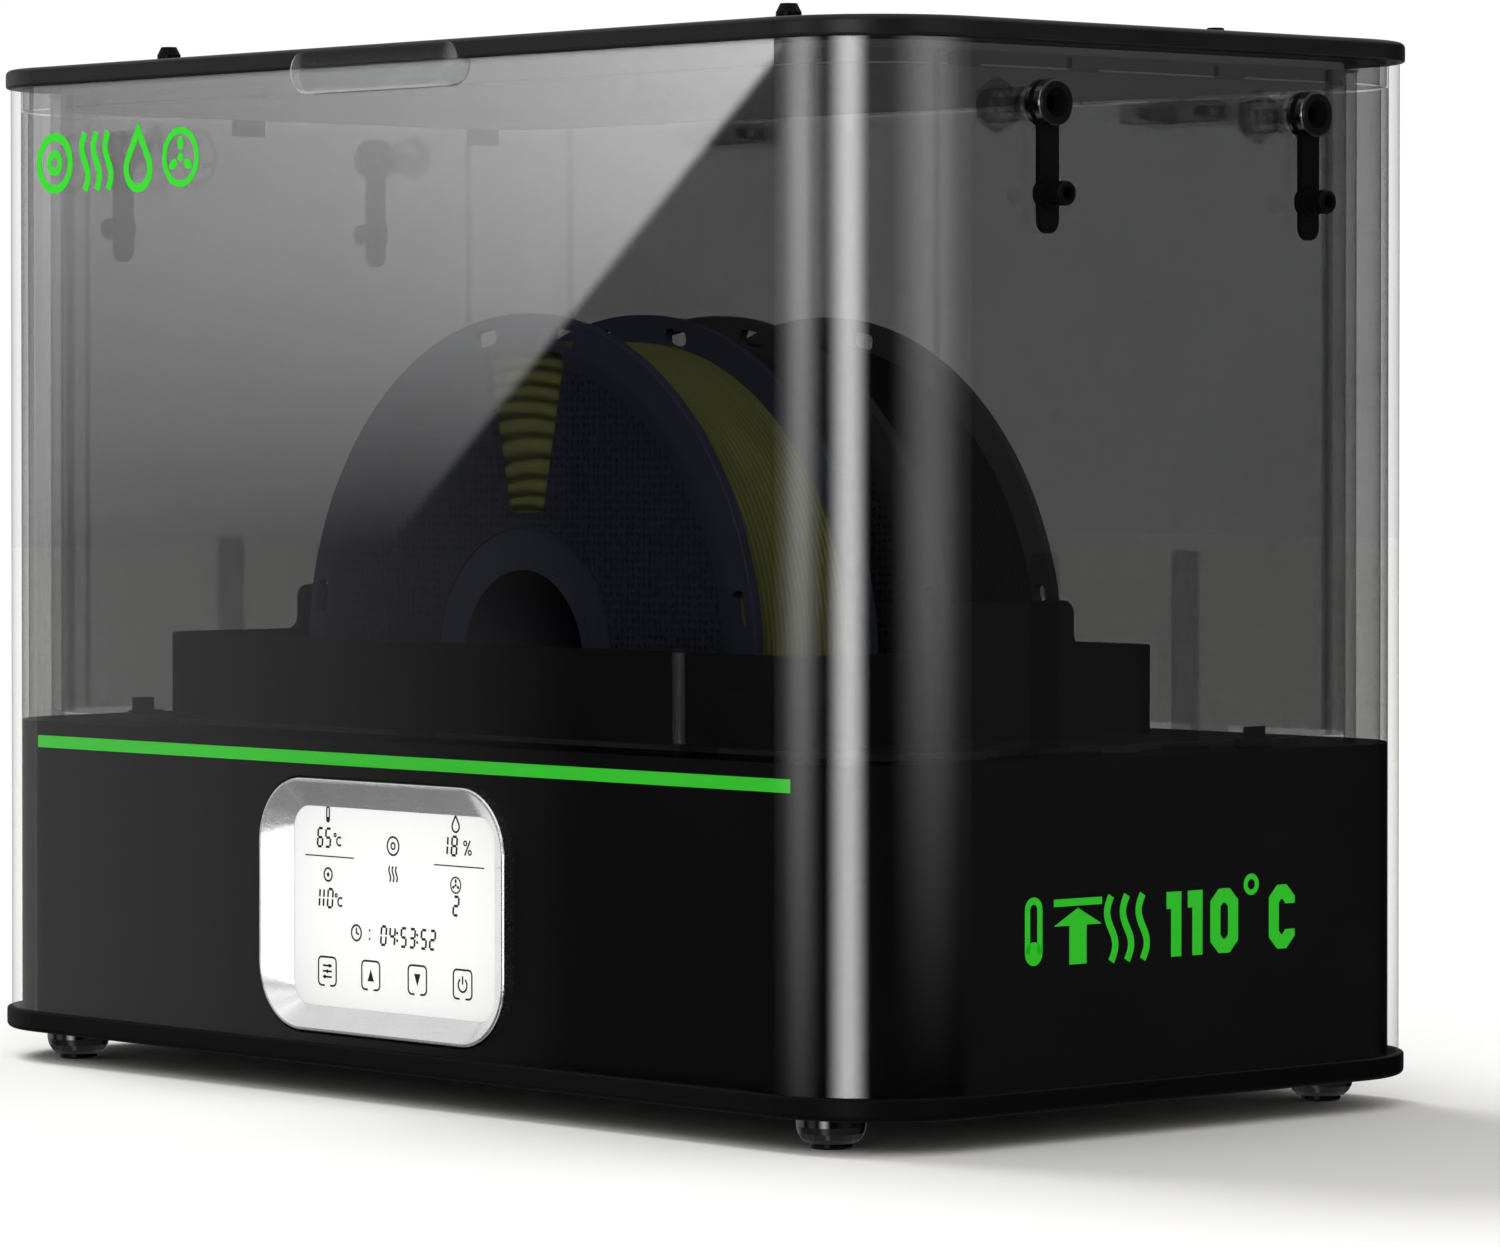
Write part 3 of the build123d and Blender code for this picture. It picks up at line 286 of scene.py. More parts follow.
def spool_plastic(name, colour, axis_z):
    """A spool: smooth rim and hub ring, with a field of small round dimples between them; the dimples get
    painted shade, and the rim and ring a painted sheen that lightens their colour.
    """
    made, g = material(name)
    split = g.node("ShaderNodeSeparateXYZ", {0: g.place()})
    x = split.outputs["X"]
    z = g.math("SUBTRACT", split.outputs["Z"], axis_z)
    radius = g.length(x, z)
    field = g.math("MULTIPLY", g.smooth(radius, 0.0385, 0.0395), g.smooth(radius, 0.0860, 0.0870, 1.0, 0.0))
    dots = g.node("ShaderNodeTexVoronoi",
                  {"Vector": g.place((1.0, 0.0, 1.0)), "Scale": 420.0, "Randomness": 0.25})
    dimple = g.math("MULTIPLY", g.smooth(dots.outputs["Distance"], 0.18, 0.42, 1.0, 0.0), field)
    grain = g.noise(1700.0, 2.0)
    height = g.math("MULTIPLY_ADD", dimple, -1.0, g.math("MULTIPLY", grain, 0.12))
    # painted shade: the dimples are coloured darker, as if shaded in their hollows
    shade = g.mix(g.math("MULTIPLY", dimple, 0.7), colour, tuple(c * 0.35 for c in colour))
    smooth_rim = g.smooth(radius, 0.0900, 0.0915)
    ring = g.smooth(radius, 0.0380, 0.0388, 1.0, 0.0)
    polish_and_painted_sheen = g.math("MAXIMUM", smooth_rim, ring)
    # painted sheen: the smooth rim and hub ring are coloured lighter as well as made smoother
    shade = g.mix(g.math("MULTIPLY", polish_and_painted_sheen, 0.35), shade, tuple(c * 1.9 for c in colour))
    shader = g.principled(Base_Color=shade, Roughness=g.straight(polish_and_painted_sheen, 0.0, 1.0, 0.55, 0.38),
                          Specular_IOR_Level=0.10, Normal=g.bump(height, 0.25 * MM))
    g.surface(shader.outputs[0])
    return made


def filament(name, colour):
    """Extruded filament: a soft sheen, with slow changes of shade from turn to turn."""
    made, g = material(name)
    turns = g.noise(330.0, 2.0, (0.15, 1.0, 0.15))
    broad = g.noise(28.0, 3.0)
    shade = g.mix(g.straight(turns, 0.3, 0.7), tuple(c * 0.78 for c in colour), colour)
    shade = g.mix(g.straight(broad, 0.35, 0.75, 0.0, 0.3), shade, tuple(c * 0.7 for c in colour))
    shader = g.principled(Base_Color=shade, Roughness=0.45, Specular_IOR_Level=0.12,
                          Normal=g.bump(turns, 0.03 * MM))
    g.surface(shader.outputs[0])
    return made


def tray_plastic(name, colour):
    """The tray's matt plastic, polished along the upright rib at its front, where a painted highlight also
    lightens its colour.
    """
    made, g = material(name)
    split = g.node("ShaderNodeSeparateXYZ", {0: g.place()})
    beside = g.math("ABSOLUTE", g.math("SUBTRACT", split.outputs["X"], TRAY_RIB_X))
    rib = g.math("MULTIPLY", g.smooth(beside, 0.0024, 0.0030, 1.0, 0.0),
                 g.smooth(split.outputs["Y"], -0.0775, -0.0772, 1.0, 0.0))
    broad = g.noise(22.0, 4.0)
    shade = g.mix(g.straight(broad, 0.3, 0.7), tuple(c * 0.8 for c in colour), tuple(c * 1.2 for c in colour))
    # painted highlight: the rib is coloured lighter grey
    shader = g.principled(Base_Color=g.mix(rib, shade, (0.10, 0.10, 0.10)),
                          Roughness=g.straight(rib, 0.0, 1.0, 0.55, 0.12),
                          Specular_IOR_Level=g.straight(rib, 0.0, 1.0, 0.10, 1.0),
                          Normal=g.bump(g.noise(1500.0, 2.0), 0.02 * MM))
    g.surface(shader.outputs[0])
    return made


def port_plastic(name):
    """The filament ports: glossy black outside the walls, smoked and see-through inside, dark in the bore;
    collar faces turned to the front get a painted sheen of lighter metal.
    """
    made, g = material(name)
    low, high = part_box("port_tubes")
    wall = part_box("outer_shell")[1].x
    split = g.node("ShaderNodeSeparateXYZ", {0: g.place()})
    aside = g.math("SUBTRACT", g.math("ABSOLUTE", split.outputs["Y"]), PORT_ASIDE)
    rise = g.math("SUBTRACT", split.outputs["Z"], (low.z + high.z) / 2)
    radius = g.length(aside, rise)
    bore = g.smooth(radius, PORT_BORE - 0.15 * MM, PORT_BORE + 0.15 * MM, 1.0, 0.0)
    outside = g.math("GREATER_THAN", g.math("ABSOLUTE", split.outputs["X"]), wall - 0.0005)
    normal = g.node("ShaderNodeSeparateXYZ", {0: g.node("ShaderNodeNewGeometry").outputs["Normal"]})
    # painted sheen: collar faces that turn towards the front (-Y) become lighter metal
    shine = g.smooth(g.math("MULTIPLY", normal.outputs["Y"], -1.0), 0.70, 0.93)
    shine = g.math("MULTIPLY", shine, g.smooth(radius, PORT_COLLAR - 0.25 * MM, PORT_COLLAR + 0.25 * MM))
    grain = g.noise(900.0, 2.0)
    # the lighter colour of the painted sheen
    shade = g.mix(shine, (0.0040, 0.0040, 0.0042), (0.30, 0.30, 0.30))
    black = g.principled(Base_Color=shade, Metallic=shine,
                         Roughness=g.straight(grain, 0.3, 0.7, 0.12, 0.18),
                         Specular_IOR_Level=g.straight(bore, 0.0, 1.0, 0.35, 0.0),
                         Normal=g.bump(grain, 0.004 * MM))
    clear = g.node("ShaderNodeBsdfTransparent", {"Color": (0.80, 0.80, 0.805)})
    hidden = g.principled(Base_Color=(0.02, 0.02, 0.02), Roughness=0.6, Specular_IOR_Level=0.1)
    inner = g.node("ShaderNodeMixShader", {0: 0.12, 1: clear.outputs[0], 2: hidden.outputs[0]})
    both = g.node("ShaderNodeMixShader", {0: outside, 1: inner.outputs[0], 2: black.outputs[0]})
    g.surface(both.outputs[0])
    return made


def smoked_plate(name):
    """The smoked plate under the lid: a painted glow makes it greyish from below, strongest at its lower
    edge, in place of the light in the box that would leave it.
    """
    made, g = material(name)
    broad = g.noise(22.0, 4.0)
    pale = g.mix(broad, (0.40, 0.40, 0.405), (0.46, 0.46, 0.465))
    split = g.node("ShaderNodeSeparateXYZ", {0: g.place()})
    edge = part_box("lid_plate")[0].z
    # painted glow: strongest at the lower edge and fading upwards
    painted_glow_fade = g.smooth(split.outputs["Z"], edge + 0.0010, edge + 0.0060, 1.0, 0.8)
    shader = g.principled(Base_Color=g.mix(0.85, pale, (0.02, 0.02, 0.021)),
                          Roughness=g.straight(broad, 0.3, 0.7, 0.30, 0.38), Specular_IOR_Level=0.05,
                          Emission_Color=pale, Emission_Strength=g.math("MULTIPLY", painted_glow_fade, PAN_GLOW),
                          Normal=g.bump(g.noise(2000.0, 2.0), 0.008 * MM))
    g.surface(shader.outputs[0])
    return made


def circuit_board(name):
    """Solder mask over copper tracks, with pale printed marks and dark parts standing on it."""
    made, g = material(name)
    where = g.place()
    tracks = g.node("ShaderNodeTexBrick", {"Vector": where, "Scale": 190.0, "Mortar Size": 0.09,
                                           "Color1": (0.010, 0.055, 0.022), "Color2": (0.012, 0.070, 0.028),
                                           "Mortar": (0.030, 0.120, 0.050)}, offset=0.35)
    dots = g.node("ShaderNodeTexVoronoi", {"Vector": where, "Scale": 260.0})
    pad = g.smooth(dots.outputs["Distance"], 0.16, 0.20, 1.0, 0.0)
    shade = g.mix(pad, tracks.outputs["Color"], (0.62, 0.55, 0.38))
    shader = g.principled(Base_Color=shade, Roughness=g.straight(pad, 0.0, 1.0, 0.42, 0.25), Metallic=pad,
                          Normal=g.bump(g.math("ADD", tracks.outputs["Fac"], pad), 0.05 * MM))
    g.surface(shader.outputs[0])
    return made


def build_materials():
    """Every material by its slot in the record, and a few for the pieces added here."""
    axis_z = (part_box("spool_front")[0].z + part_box("spool_front")[1].z) / 2
    return {
        "black_housing": moulded("black_housing", (0.0034, 0.0034, 0.0036), 0.42, 2100.0, 0.008, 0.04),
        "black_trim": moulded("black_trim", (0.0090, 0.0090, 0.0092), 0.34, 2000.0, 0.008, 0.20),
        "black_matte": moulded("black_matte", (0.030, 0.030, 0.031), 0.55, 1500.0, 0.03, 0.12),
        "port_black": port_plastic("port_black"),
        "lid_pan": smoked_plate("lid_pan"),
        "seal_clear": see_through("seal_clear", (0.70, 0.70, 0.705), 0.01),
        "tray_black": tray_plastic("tray_black", (0.024, 0.024, 0.025)),
        "black_gloss": moulded("black_gloss", (0.0040, 0.0040, 0.0042), 0.14, 600.0, 0.004, 0.60),
        "clear_wall": see_through("clear_wall", CLEAR_PASS),
        "smoked_wall": see_through("smoked_wall", SMOKED_PASS, 0.012),
        "liner_wall": see_through("liner_wall", LINER_PASS, 0.012),
        "skirt_wall": see_through("skirt_wall", (0.52, 0.52, 0.53), 0.02),
        "post_wall": see_through("post_wall", (0.62, 0.62, 0.63), 0.01),
        "silver_frame": metal("silver_frame", (0.88, 0.88, 0.885), 0.24, (0.05, 1.0, 1.0), 1400.0, 0.004),
        "white_screen": lit_white("white_screen"),
        # the green inks carry a painted glow that makes them brighter than the lamps light them
        "green_accent": ink("green_accent", (0.030, 0.56, 0.022), 0.25),
        "print_green": ink("print_green", (0.022, 0.56, 0.014), 0.35),
        "print_dark": ink("print_dark", (0.010, 0.010, 0.012)),
        "rubber": moulded("rubber", (0.0035, 0.0035, 0.0035), 0.30, 900.0, 0.01, 0.06),
        "clear_pull": cast_clear("clear_pull"),
        "steel": metal("steel", (0.62, 0.62, 0.63), 0.28),
        "blackened_steel": metal("blackened_steel", (0.055, 0.055, 0.058), 0.38),
        "spool_slate": spool_plastic("spool_slate", (0.040, 0.043, 0.068), axis_z),
        "spool_dark": spool_plastic("spool_dark", (0.040, 0.040, 0.042), axis_z),
        "filament_olive": filament("filament_olive", (0.215, 0.220, 0.075)),
        "filament_black": filament("filament_black", (0.012, 0.012, 0.0125)),
        "roller_grey": moulded("roller_grey", (0.10, 0.10, 0.11), 0.45),
        "circuit_board": circuit_board("circuit_board"),
        "heater_metal": metal("heater_metal", (0.72, 0.73, 0.74), 0.36, (1.0, 1.0, 0.08), 700.0, 0.02),
        "switch_red": moulded("switch_red", (0.42, 0.012, 0.010), 0.32, 1500.0, 0.01),
        "brass_contact": metal("brass_contact", (0.80, 0.60, 0.28), 0.22),
    }


def dress_nodes(finishes):
    """Gives each CAD node the material of its slot in the record."""
    slots = {part["node"]: part["material_slot"] for part in frame["record"]["subparts"]}
    special = {"chamber_liner": "liner_wall", "lid_skirt": "skirt_wall", "guide_posts": "post_wall",
               "hinge_blocks": "post_wall", "hinge_case_leaves": "post_wall", "base_plate": "black_housing",
               "foot_cups": "black_gloss", "port_tubes": "port_black", "port_nuts": "post_wall",
               "spool_tray": "tray_black", "hinge_case_screws": "post_wall", "lid_seal": "seal_clear"}
    for name, node in NODES.items():
        chosen = finishes[special.get(name, slots[name])]
        for slot in node.material_slots:
            slot.link = "OBJECT"
            slot.material = chosen


# ---- wound filament ------------------------------------------------------------------------------
def wound(name, node, body, finish):
    """A winding with a ridge for every turn outside and uneven coils where the flange windows show them."""
    low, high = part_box(node)
    outer = (high.x - low.x) / 2
    axis_z = (low.z + high.z) / 2
    core = 40.0 * MM
    turn = 1.75 * MM
    steps = 192
    per_turn = 6
    across = round((high.y - low.y) / turn) * per_turn
    up = 84

    def coil_edge(radius, angle):
        """How far the side of the winding lies inside its flange, at a radius and an angle."""
        climb = radius + turn * angle / math.tau
        fine = 0.5 - 0.5 * math.cos(math.tau * climb / turn)
        sway = 0.30 * math.sin(2 * angle + 0.6) + 0.22 * math.sin(3 * angle + radius / (6.0 * MM))
        bundle = radius / (5.0 * MM) + 0.20 * math.sin(radius / (7.3 * MM)) + sway
        gap = abs(math.cos(math.pi * bundle)) ** 10
        swell = abs(math.sin(math.pi * bundle)) ** 0.7
        return 0.08 * MM * fine + 2.6 * MM * gap + 0.9 * MM * (1 - swell)

    profile = [("rear", core + (outer - core) * i / up) for i in range(up + 1)]
    profile += [("outside", i / across) for i in range(1, across)]
    profile += [("front", outer - (outer - core) * i / up) for i in range(up + 1)]

    mesh = bmesh.new()
    rings = []
    for step in range(steps):
        angle = math.tau * step / steps
        ring = []
        for kind, value in profile:
            if kind == "outside":
                y = high.y + (low.y - high.y) * value
                phase = (y + turn * angle / math.tau) / turn
                radius = outer - 0.40 * MM * (1 - abs(math.sin(math.pi * phase)))
            else:
                radius = min(value, outer - 0.25 * MM)
                inside = coil_edge(value, angle)
                y = high.y - inside if kind == "rear" else low.y + inside
            ring.append(mesh.verts.new((radius * math.sin(angle), y, axis_z + radius * math.cos(angle))))
        rings.append(ring)
    count = len(profile)
    for step in range(steps):
        here, after = rings[step], rings[(step + 1) % steps]
        for i in range(count):
            j = (i + 1) % count
            mesh.faces.new((here[i], after[i], after[j], here[j]))
    return add_piece(name, mesh, finish, body, replaces=(node,))


def add_piece(name, mesh, finish, body, replaces=(), smooth=True):
    """Turns a bmesh into a named piece that rides on a body."""
    bmesh.ops.recalc_face_normals(mesh, faces=mesh.faces)
    data = bpy.data.meshes.new(name)
    mesh.to_mesh(data)
    mesh.free()
    for face in data.polygons:
        face.use_smooth = smooth
    data.materials.append(finish)
    piece = bpy.data.objects.new(name, data)
    bpy.context.scene.collection.objects.link(piece)
    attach(piece, body)
    if replaces:
        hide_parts(*replaces)
    return piece


# ---- plate under the lid -------------------------------------------------------------------------
def lid_pan(finish):
    """A smoked plate that hangs a little way under the lid, inside the liner, with rounded corners."""
    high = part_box("chamber_liner")[1]
    half_x = high.x - PAN_GAP
    half_y = high.y - PAN_GAP
    chamfer = 0.8 * MM
    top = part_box("lid_seal")[1].z - 0.2 * MM
    steps = 12
    outline = []
    for quarter, (side_x, side_y) in enumerate(((1, 1), (-1, 1), (-1, -1), (1, -1))):
        for i in range(steps + 1):
            angle = math.radians(90 * quarter + 90 * i / steps)
            centre = (side_x * (half_x - PAN_CORNER), side_y * (half_y - PAN_CORNER))
            outline.append((*centre, math.cos(angle), math.sin(angle)))
    mesh = bmesh.new()
    rings = []
    for height, inset in ((top, 0.0), (PAN_BOTTOM + chamfer, 0.0), (PAN_BOTTOM, chamfer)):
        radius = PAN_CORNER - inset
        rings.append([mesh.verts.new((x + radius * c, y + radius * s, height)) for x, y, c, s in outline])
    count = len(outline)
    for upper, lower in zip(rings, rings[1:]):
        for i in range(count):
            j = (i + 1) % count
            mesh.faces.new((upper[i], upper[j], lower[j], lower[i]))
    mesh.faces.new(rings[0])
    mesh.faces.new(rings[-1][::-1])
    return add_piece("lid_pan", mesh, finish, "lid", smooth=False)


# ---- printed marks -------------------------------------------------------------------------------
class Print:
    """Marks drawn in a plane in (u, v) millimetres, each given a small thickness outwards."""

    def __init__(self, origin, u_axis, v_axis, out_axis, thickness=PRINT_THICKNESS):
        self.origin = Vector(origin)
        self.u_axis = Vector(u_axis)
        self.v_axis = Vector(v_axis)
        self.out = Vector(out_axis) * thickness
        self.mesh = bmesh.new()

    def point(self, u, v):
        return self.origin + self.u_axis * (u * MM) + self.v_axis * (v * MM)

    def fill(self, outline):
        """A filled outline without holes."""
        back = [self.mesh.verts.new(self.point(u, v)) for u, v in outline]
        front = [self.mesh.verts.new(vert.co + self.out) for vert in back]
        count = len(outline)
        faces = [self.mesh.faces.new(front), self.mesh.faces.new(back[::-1])]
        bmesh.ops.triangulate(self.mesh, faces=faces)
        for i in range(count):
            j = (i + 1) % count
            self.mesh.faces.new((back[i], back[j], front[j], front[i]))

    def stroke(self, path, width, closed=False):
        """A line of even width along a path, with mitred corners."""
        points = [Vector(p) for p in path]
        count = len(points)
        left, right = [], []
        for i, point in enumerate(points):
            before = points[i - 1] if closed or i > 0 else None
            after = points[(i + 1) % count] if closed or i < count - 1 else None
            arms = []
            if before is not None:
                arms.append((point - before).normalized())
            if after is not None:
                arms.append((after - point).normalized())
            along = sum(arms, Vector((0, 0))).normalized()
            side = Vector((-along.y, along.x))
            square = Vector((-arms[0].y, arms[0].x))
            reach = width / 2 / max(0.35, side.dot(square))
            left.append(point + side * reach)
            right.append(point - side * reach)
        pairs = count if closed else count - 1
        for i in range(pairs):
            j = (i + 1) % count
            self.fill([tuple(right[i]), tuple(right[j]), tuple(left[j]), tuple(left[i])])

    def arc(self, u, v, radius, start, end, width, steps=20):
        """A circular stroke between two angles in degrees, counted from the u axis."""
        whole = abs(end - start) >= 360
        count = steps if whole else steps + 1
        angles = [math.radians(start + (end - start) * i / steps) for i in range(count)]
        path = [(u + radius * math.cos(a), v + radius * math.sin(a)) for a in angles]
        self.stroke(path, width, closed=whole)

    def disc(self, u, v, radius, steps=24):
        angles = [math.tau * i / steps for i in range(steps)]
        self.fill([(u + radius * math.cos(a), v + radius * math.sin(a)) for a in angles])

    def piece(self, name, finish, body, slot):
        return add_piece(name, self.mesh, finish, body, smooth=False)


SEGMENTS = {
    "0": "abcdef", "1": "bc", "2": "abged", "3": "abgcd", "4": "fgbc",
    "5": "afgcd", "6": "afgedc", "7": "abc", "8": "abcdefg", "9": "abcdfg",
}


def segment_digit(marks, digit, u, v, width, height, line, slant=0.09):
    """One seven-segment digit, its lower left corner at (u, v)."""
    gap = line * 0.35
    ends = {
        "a": ((0, 2), (1, 2)), "b": ((1, 2), (1, 1)), "c": ((1, 1), (1, 0)), "d": ((0, 0), (1, 0)),
        "e": ((0, 1), (0, 0)), "f": ((0, 2), (0, 1)), "g": ((0, 1), (1, 1)),
    }
    for name in SEGMENTS[digit]:
        (u0, v0), (u1, v1) = ends[name]
        start = Vector((u0 * width, v0 * height / 2))
        end = Vector((u1 * width, v1 * height / 2))
        along = (end - start).normalized()
        start += along * gap
        end -= along * gap
        path = [(u + p.x + p.y * slant, v + p.y) for p in (start, end)]
        marks.stroke(path, line)


def segment_text(marks, text, u, v, width, height, line, pitch):
    """Digits in a row; a colon takes a third of a digit's pitch, and a one takes half."""
    for char in text:
        if char == ":":
            for level in (0.3, 0.7):
                marks.disc(u - pitch * 0.10, v + height * level, line * 0.62, 10)
            u += pitch * 0.30
            continue
        if char == "1":
            segment_digit(marks, char, u - width, v, width, height, line)
            u += pitch * 0.52
            continue
        segment_digit(marks, char, u, v, width, height, line)
        u += pitch


def degree_c(marks, u, v, height, line):
    """The degree ring and a C, as the unit after a temperature."""
    marks.arc(u, v + height * 0.86, height * 0.13, 0, 360, line * 0.8, 12)
    marks.arc(u + height * 0.55, v + height * 0.38, height * 0.33, 50, 310, line, 16)


def percent(marks, u, v, height, line):
    marks.stroke([(u, v), (u + height * 0.55, v + height)], line)
    marks.arc(u + height * 0.05, v + height * 0.80, height * 0.15, 0, 360, line * 0.8, 12)
    marks.arc(u + height * 0.52, v + height * 0.20, height * 0.15, 0, 360, line * 0.8, 12)


def thermometer(marks, u, v, height, line):
    """A thermometer: a tube outline over a filled bulb."""
    radius = height * 0.13
    bulb = height * 0.20
    marks.disc(u, v + bulb, bulb * 0.9)
    marks.stroke([(u - radius, v + bulb), (u - radius, v + height - radius)], line)
    marks.stroke([(u + radius, v + bulb), (u + radius, v + height - radius)], line)
    marks.arc(u, v + height - radius, radius, 0, 180, line, 10)


def drop(marks, u, v, height, line):
    """A drop outline: a round belly that runs up to a point."""
    radius = height * 0.34
    centre = v + radius
    angles = [math.radians(150 + 240 * i / 20) for i in range(21)]
    path = [(u + radius * math.cos(a), centre + radius * math.sin(a)) for a in angles]
    marks.stroke([*path, (u, v + height)], line, closed=True)


def target(marks, u, v, height, line):
    """A ring with a dot: the set value."""
    marks.arc(u, v + height / 2, height * 0.42, 0, 360, line, 20)
    marks.disc(u, v + height / 2, height * 0.14)


def clock(marks, u, v, height, line):
    marks.arc(u, v + height / 2, height * 0.46, 0, 360, line, 24)
    marks.stroke([(u, v + height * 0.80), (u, v + height / 2), (u + height * 0.24, v + height * 0.42)], line)


def spool_icon(marks, u, v, height, line):
    """A spool seen from the side: a ring round a hub."""
    marks.arc(u, v + height / 2, height * 0.46, 0, 360, line, 32)
    marks.arc(u, v + height / 2, height * 0.16, 0, 360, line * 0.9, 20)


def warmth(marks, u, v, height, line):
    """Three rising waves."""
    for shift in (-0.34, 0.0, 0.34):
        path = []
        for i in range(17):
            level = i / 16
            path.append((u + height * (shift + 0.09 * math.sin(math.tau * level)), v + height * level))
        marks.stroke(path, line)


def fan_icon(marks, u, v, height, line):
    """Three filled blades, each a plain leaf, round a dot in a ring."""
    centre = v + height / 2
    marks.disc(u, centre, height * 0.08)
    marks.arc(u, centre, height * 0.46, 0, 360, line * 0.8, 28)
    for third in range(3):
        turn = math.tau * third / 3 + math.pi / 2
        leaf = []
        for i in range(16):
            angle = math.tau * i / 16
            along = height * (0.24 + 0.12 * math.cos(angle))
            aside = height * 0.085 * math.sin(angle)
            leaf.append((u + along * math.cos(turn) - aside * math.sin(turn),
                         centre + along * math.sin(turn) + aside * math.cos(turn)))
        marks.fill(leaf)


def key_outline(marks, u, v, size, line):
    """A rounded square that is open in the middle of its lower side."""
    half = size / 2
    corner = size * 0.17
    opening = size * 0.16
    path = [(u - opening, v - half)]
    for centre_u, centre_v, start in ((-1, -1, 270), (-1, 1, 180), (1, 1, 90), (1, -1, 0)):
        for i in range(5):
            angle = math.radians(start - 90 * i / 4)
            path.append((u + centre_u * (half - corner) + corner * math.cos(angle),
                         v + centre_v * (half - corner) + corner * math.sin(angle)))
    path.append((u + opening, v - half))
    marks.stroke(path, line)


def display_marks(finish):
    """The read-outs and the four touch keys on the screen."""
    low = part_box("display_screen")[0]
    marks = Print((0, low.y, 0), (1, 0, 0), (0, 0, 1), (0, -1, 0))
    line = 0.55
    digit = {"width": 2.2, "height": 5.2, "line": 0.72, "pitch": 3.6}
    thermometer(marks, -29.5, 77.6, 4.6, line)
    segment_text(marks, "65", -34.4, 70.8, **digit)
    degree_c(marks, -26.3, 71.2, 3.6, line)
    target(marks, -29.5, 60.7, 4.4, line)
    segment_text(marks, "110", -33.6, 53.6, **digit)
    degree_c(marks, -25.8, 54.0, 3.6, line)
    drop(marks, 27.8, 77.6, 4.6, line)
    segment_text(marks, "18", 24.0, 71.1, **digit)
    percent(marks, 31.8, 71.3, 4.2, line)
    fan_icon(marks, 27.8, 60.4, 4.8, line)
    segment_text(marks, "2", 26.6, 54.4, **digit)
    for left, right in ((-40.0, -17.7), (18.2, 40.3)):
        marks.stroke([(left, 68.1), (right, 68.1)], 0.35)
    spool_icon(marks, 0.0, 69.6, 5.6, line)
    warmth(marks, 0.0, 62.3, 4.4, line)
    clock(marks, -16.6, 44.6, 4.8, line)
    for level in (45.6, 48.0):
        marks.disc(-10.6, level, 0.36, 10)
    segment_text(marks, "04:53:52", -5.6, 44.3, **{**digit, "pitch": 3.9})
    keys = (-29.9, -10.1, 10.8, 30.8)
    for u in keys:
        key_outline(marks, u, 35.3, 8.1, line)
    for step in (-1.6, 0.0, 1.6):
        marks.stroke([(keys[0] - 2.0, 35.3 + step), (keys[0] + 2.0, 35.3 + step)], line)
        marks.disc(keys[0] + step * 0.7, 35.3 + step, 0.55, 12)
    marks.fill([(keys[1] - 1.4, 33.6), (keys[1] + 1.4, 33.6), (keys[1], 37.0)])
    marks.fill([(keys[2] - 1.4, 37.0), (keys[2], 33.6), (keys[2] + 1.4, 37.0)])
    marks.arc(keys[3], 35.1, 1.9, 125, 415, line, 20)
    marks.stroke([(keys[3], 35.3), (keys[3], 37.6)], line)
    return marks.piece("display_marks", finish, "case", "white_screen")


def block_numeral_one(marks, u, v, height, weight):
    marks.fill([(u, v), (u + weight, v), (u + weight, v + height), (u, v + height)])
    low = v + height * 0.74
    marks.fill([(u - weight * 0.45, low), (u, low), (u, v + height), (u - weight * 0.45, v + height)])


def block_loop(marks, u, v, width, height, weight, gap=False):
    """A heavy squared ring with cut corners; with gap it is open to the right, as a C."""
    cut = weight * 0.55
    half = weight / 2
    left, right = u + half, u + width - half
    low, high = v + half, v + height - half
    path = [(left + cut, low), (left, low + cut), (left, high - cut), (left + cut, high)]
    ends = [(right - cut, high), (right, high - cut), (right, low + cut), (right - cut, low)]
    if not gap:
        marks.stroke(path + ends, weight, closed=True)
        return
    mouth = height * 0.30
    marks.stroke([(right, v + mouth), (right, low + cut), (right - cut, low), *path,
                  (right - cut, high), (right, high - cut), (right, v + height - mouth)], weight)


def side_marks(finish):
    """The heat limit on the right side: a stop arrow, a thermometer and 110 degrees."""
    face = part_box("lower_housing")[1].x
    marks = Print((face, 0, 0), (0, 1, 0), (0, 0, 1), (1, 0, 0), 0.10 * MM)
    low, height, weight = 47.2, 17.6, 3.9
    thermometer(marks, -49.5, low, height, 1.9)
    marks.fill([(-42.0, low + 10.4), (-24.0, low + 10.4), (-33.0, low + 15.0)])
    marks.fill([(-36.2, low), (-29.8, low), (-29.8, low + 10.4), (-36.2, low + 10.4)])
    marks.fill([(-42.0, low + 15.6), (-24.0, low + 15.6), (-24.0, low + height), (-42.0, low + height)])
    warmth(marks, -14.5, low, height, 2.3)
    block_numeral_one(marks, 2.4, low, height, weight)
    block_numeral_one(marks, 10.6, low, height, weight)
    block_loop(marks, 17.6, low, 10.8, height, weight)
    marks.arc(33.6, low + height + 0.6, 2.2, 0, 360, 1.5, 24)
    block_loop(marks, 40.6, low, 10.2, height, weight, gap=True)
    return marks.piece("side_marks", finish, "case", "green_accent")


def corner_marks(finish):
    """Four plain pictures at the upper left of the front wall: spool, warmth, drop and fan."""
    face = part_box("outer_shell")[0].y
    marks = Print((0, face, 0), (1, 0, 0), (0, 0, 1), (0, -1, 0), 0.10 * MM)
    low, height, line = 260.5, 17.0, 2.5
    for icon, u in ((spool_icon, -154.5), (warmth, -133.6), (drop, -113.0), (fan_icon, -92.4)):
        icon(marks, u, low, height, line)
    return marks.piece("corner_marks", finish, "case", "green_accent")


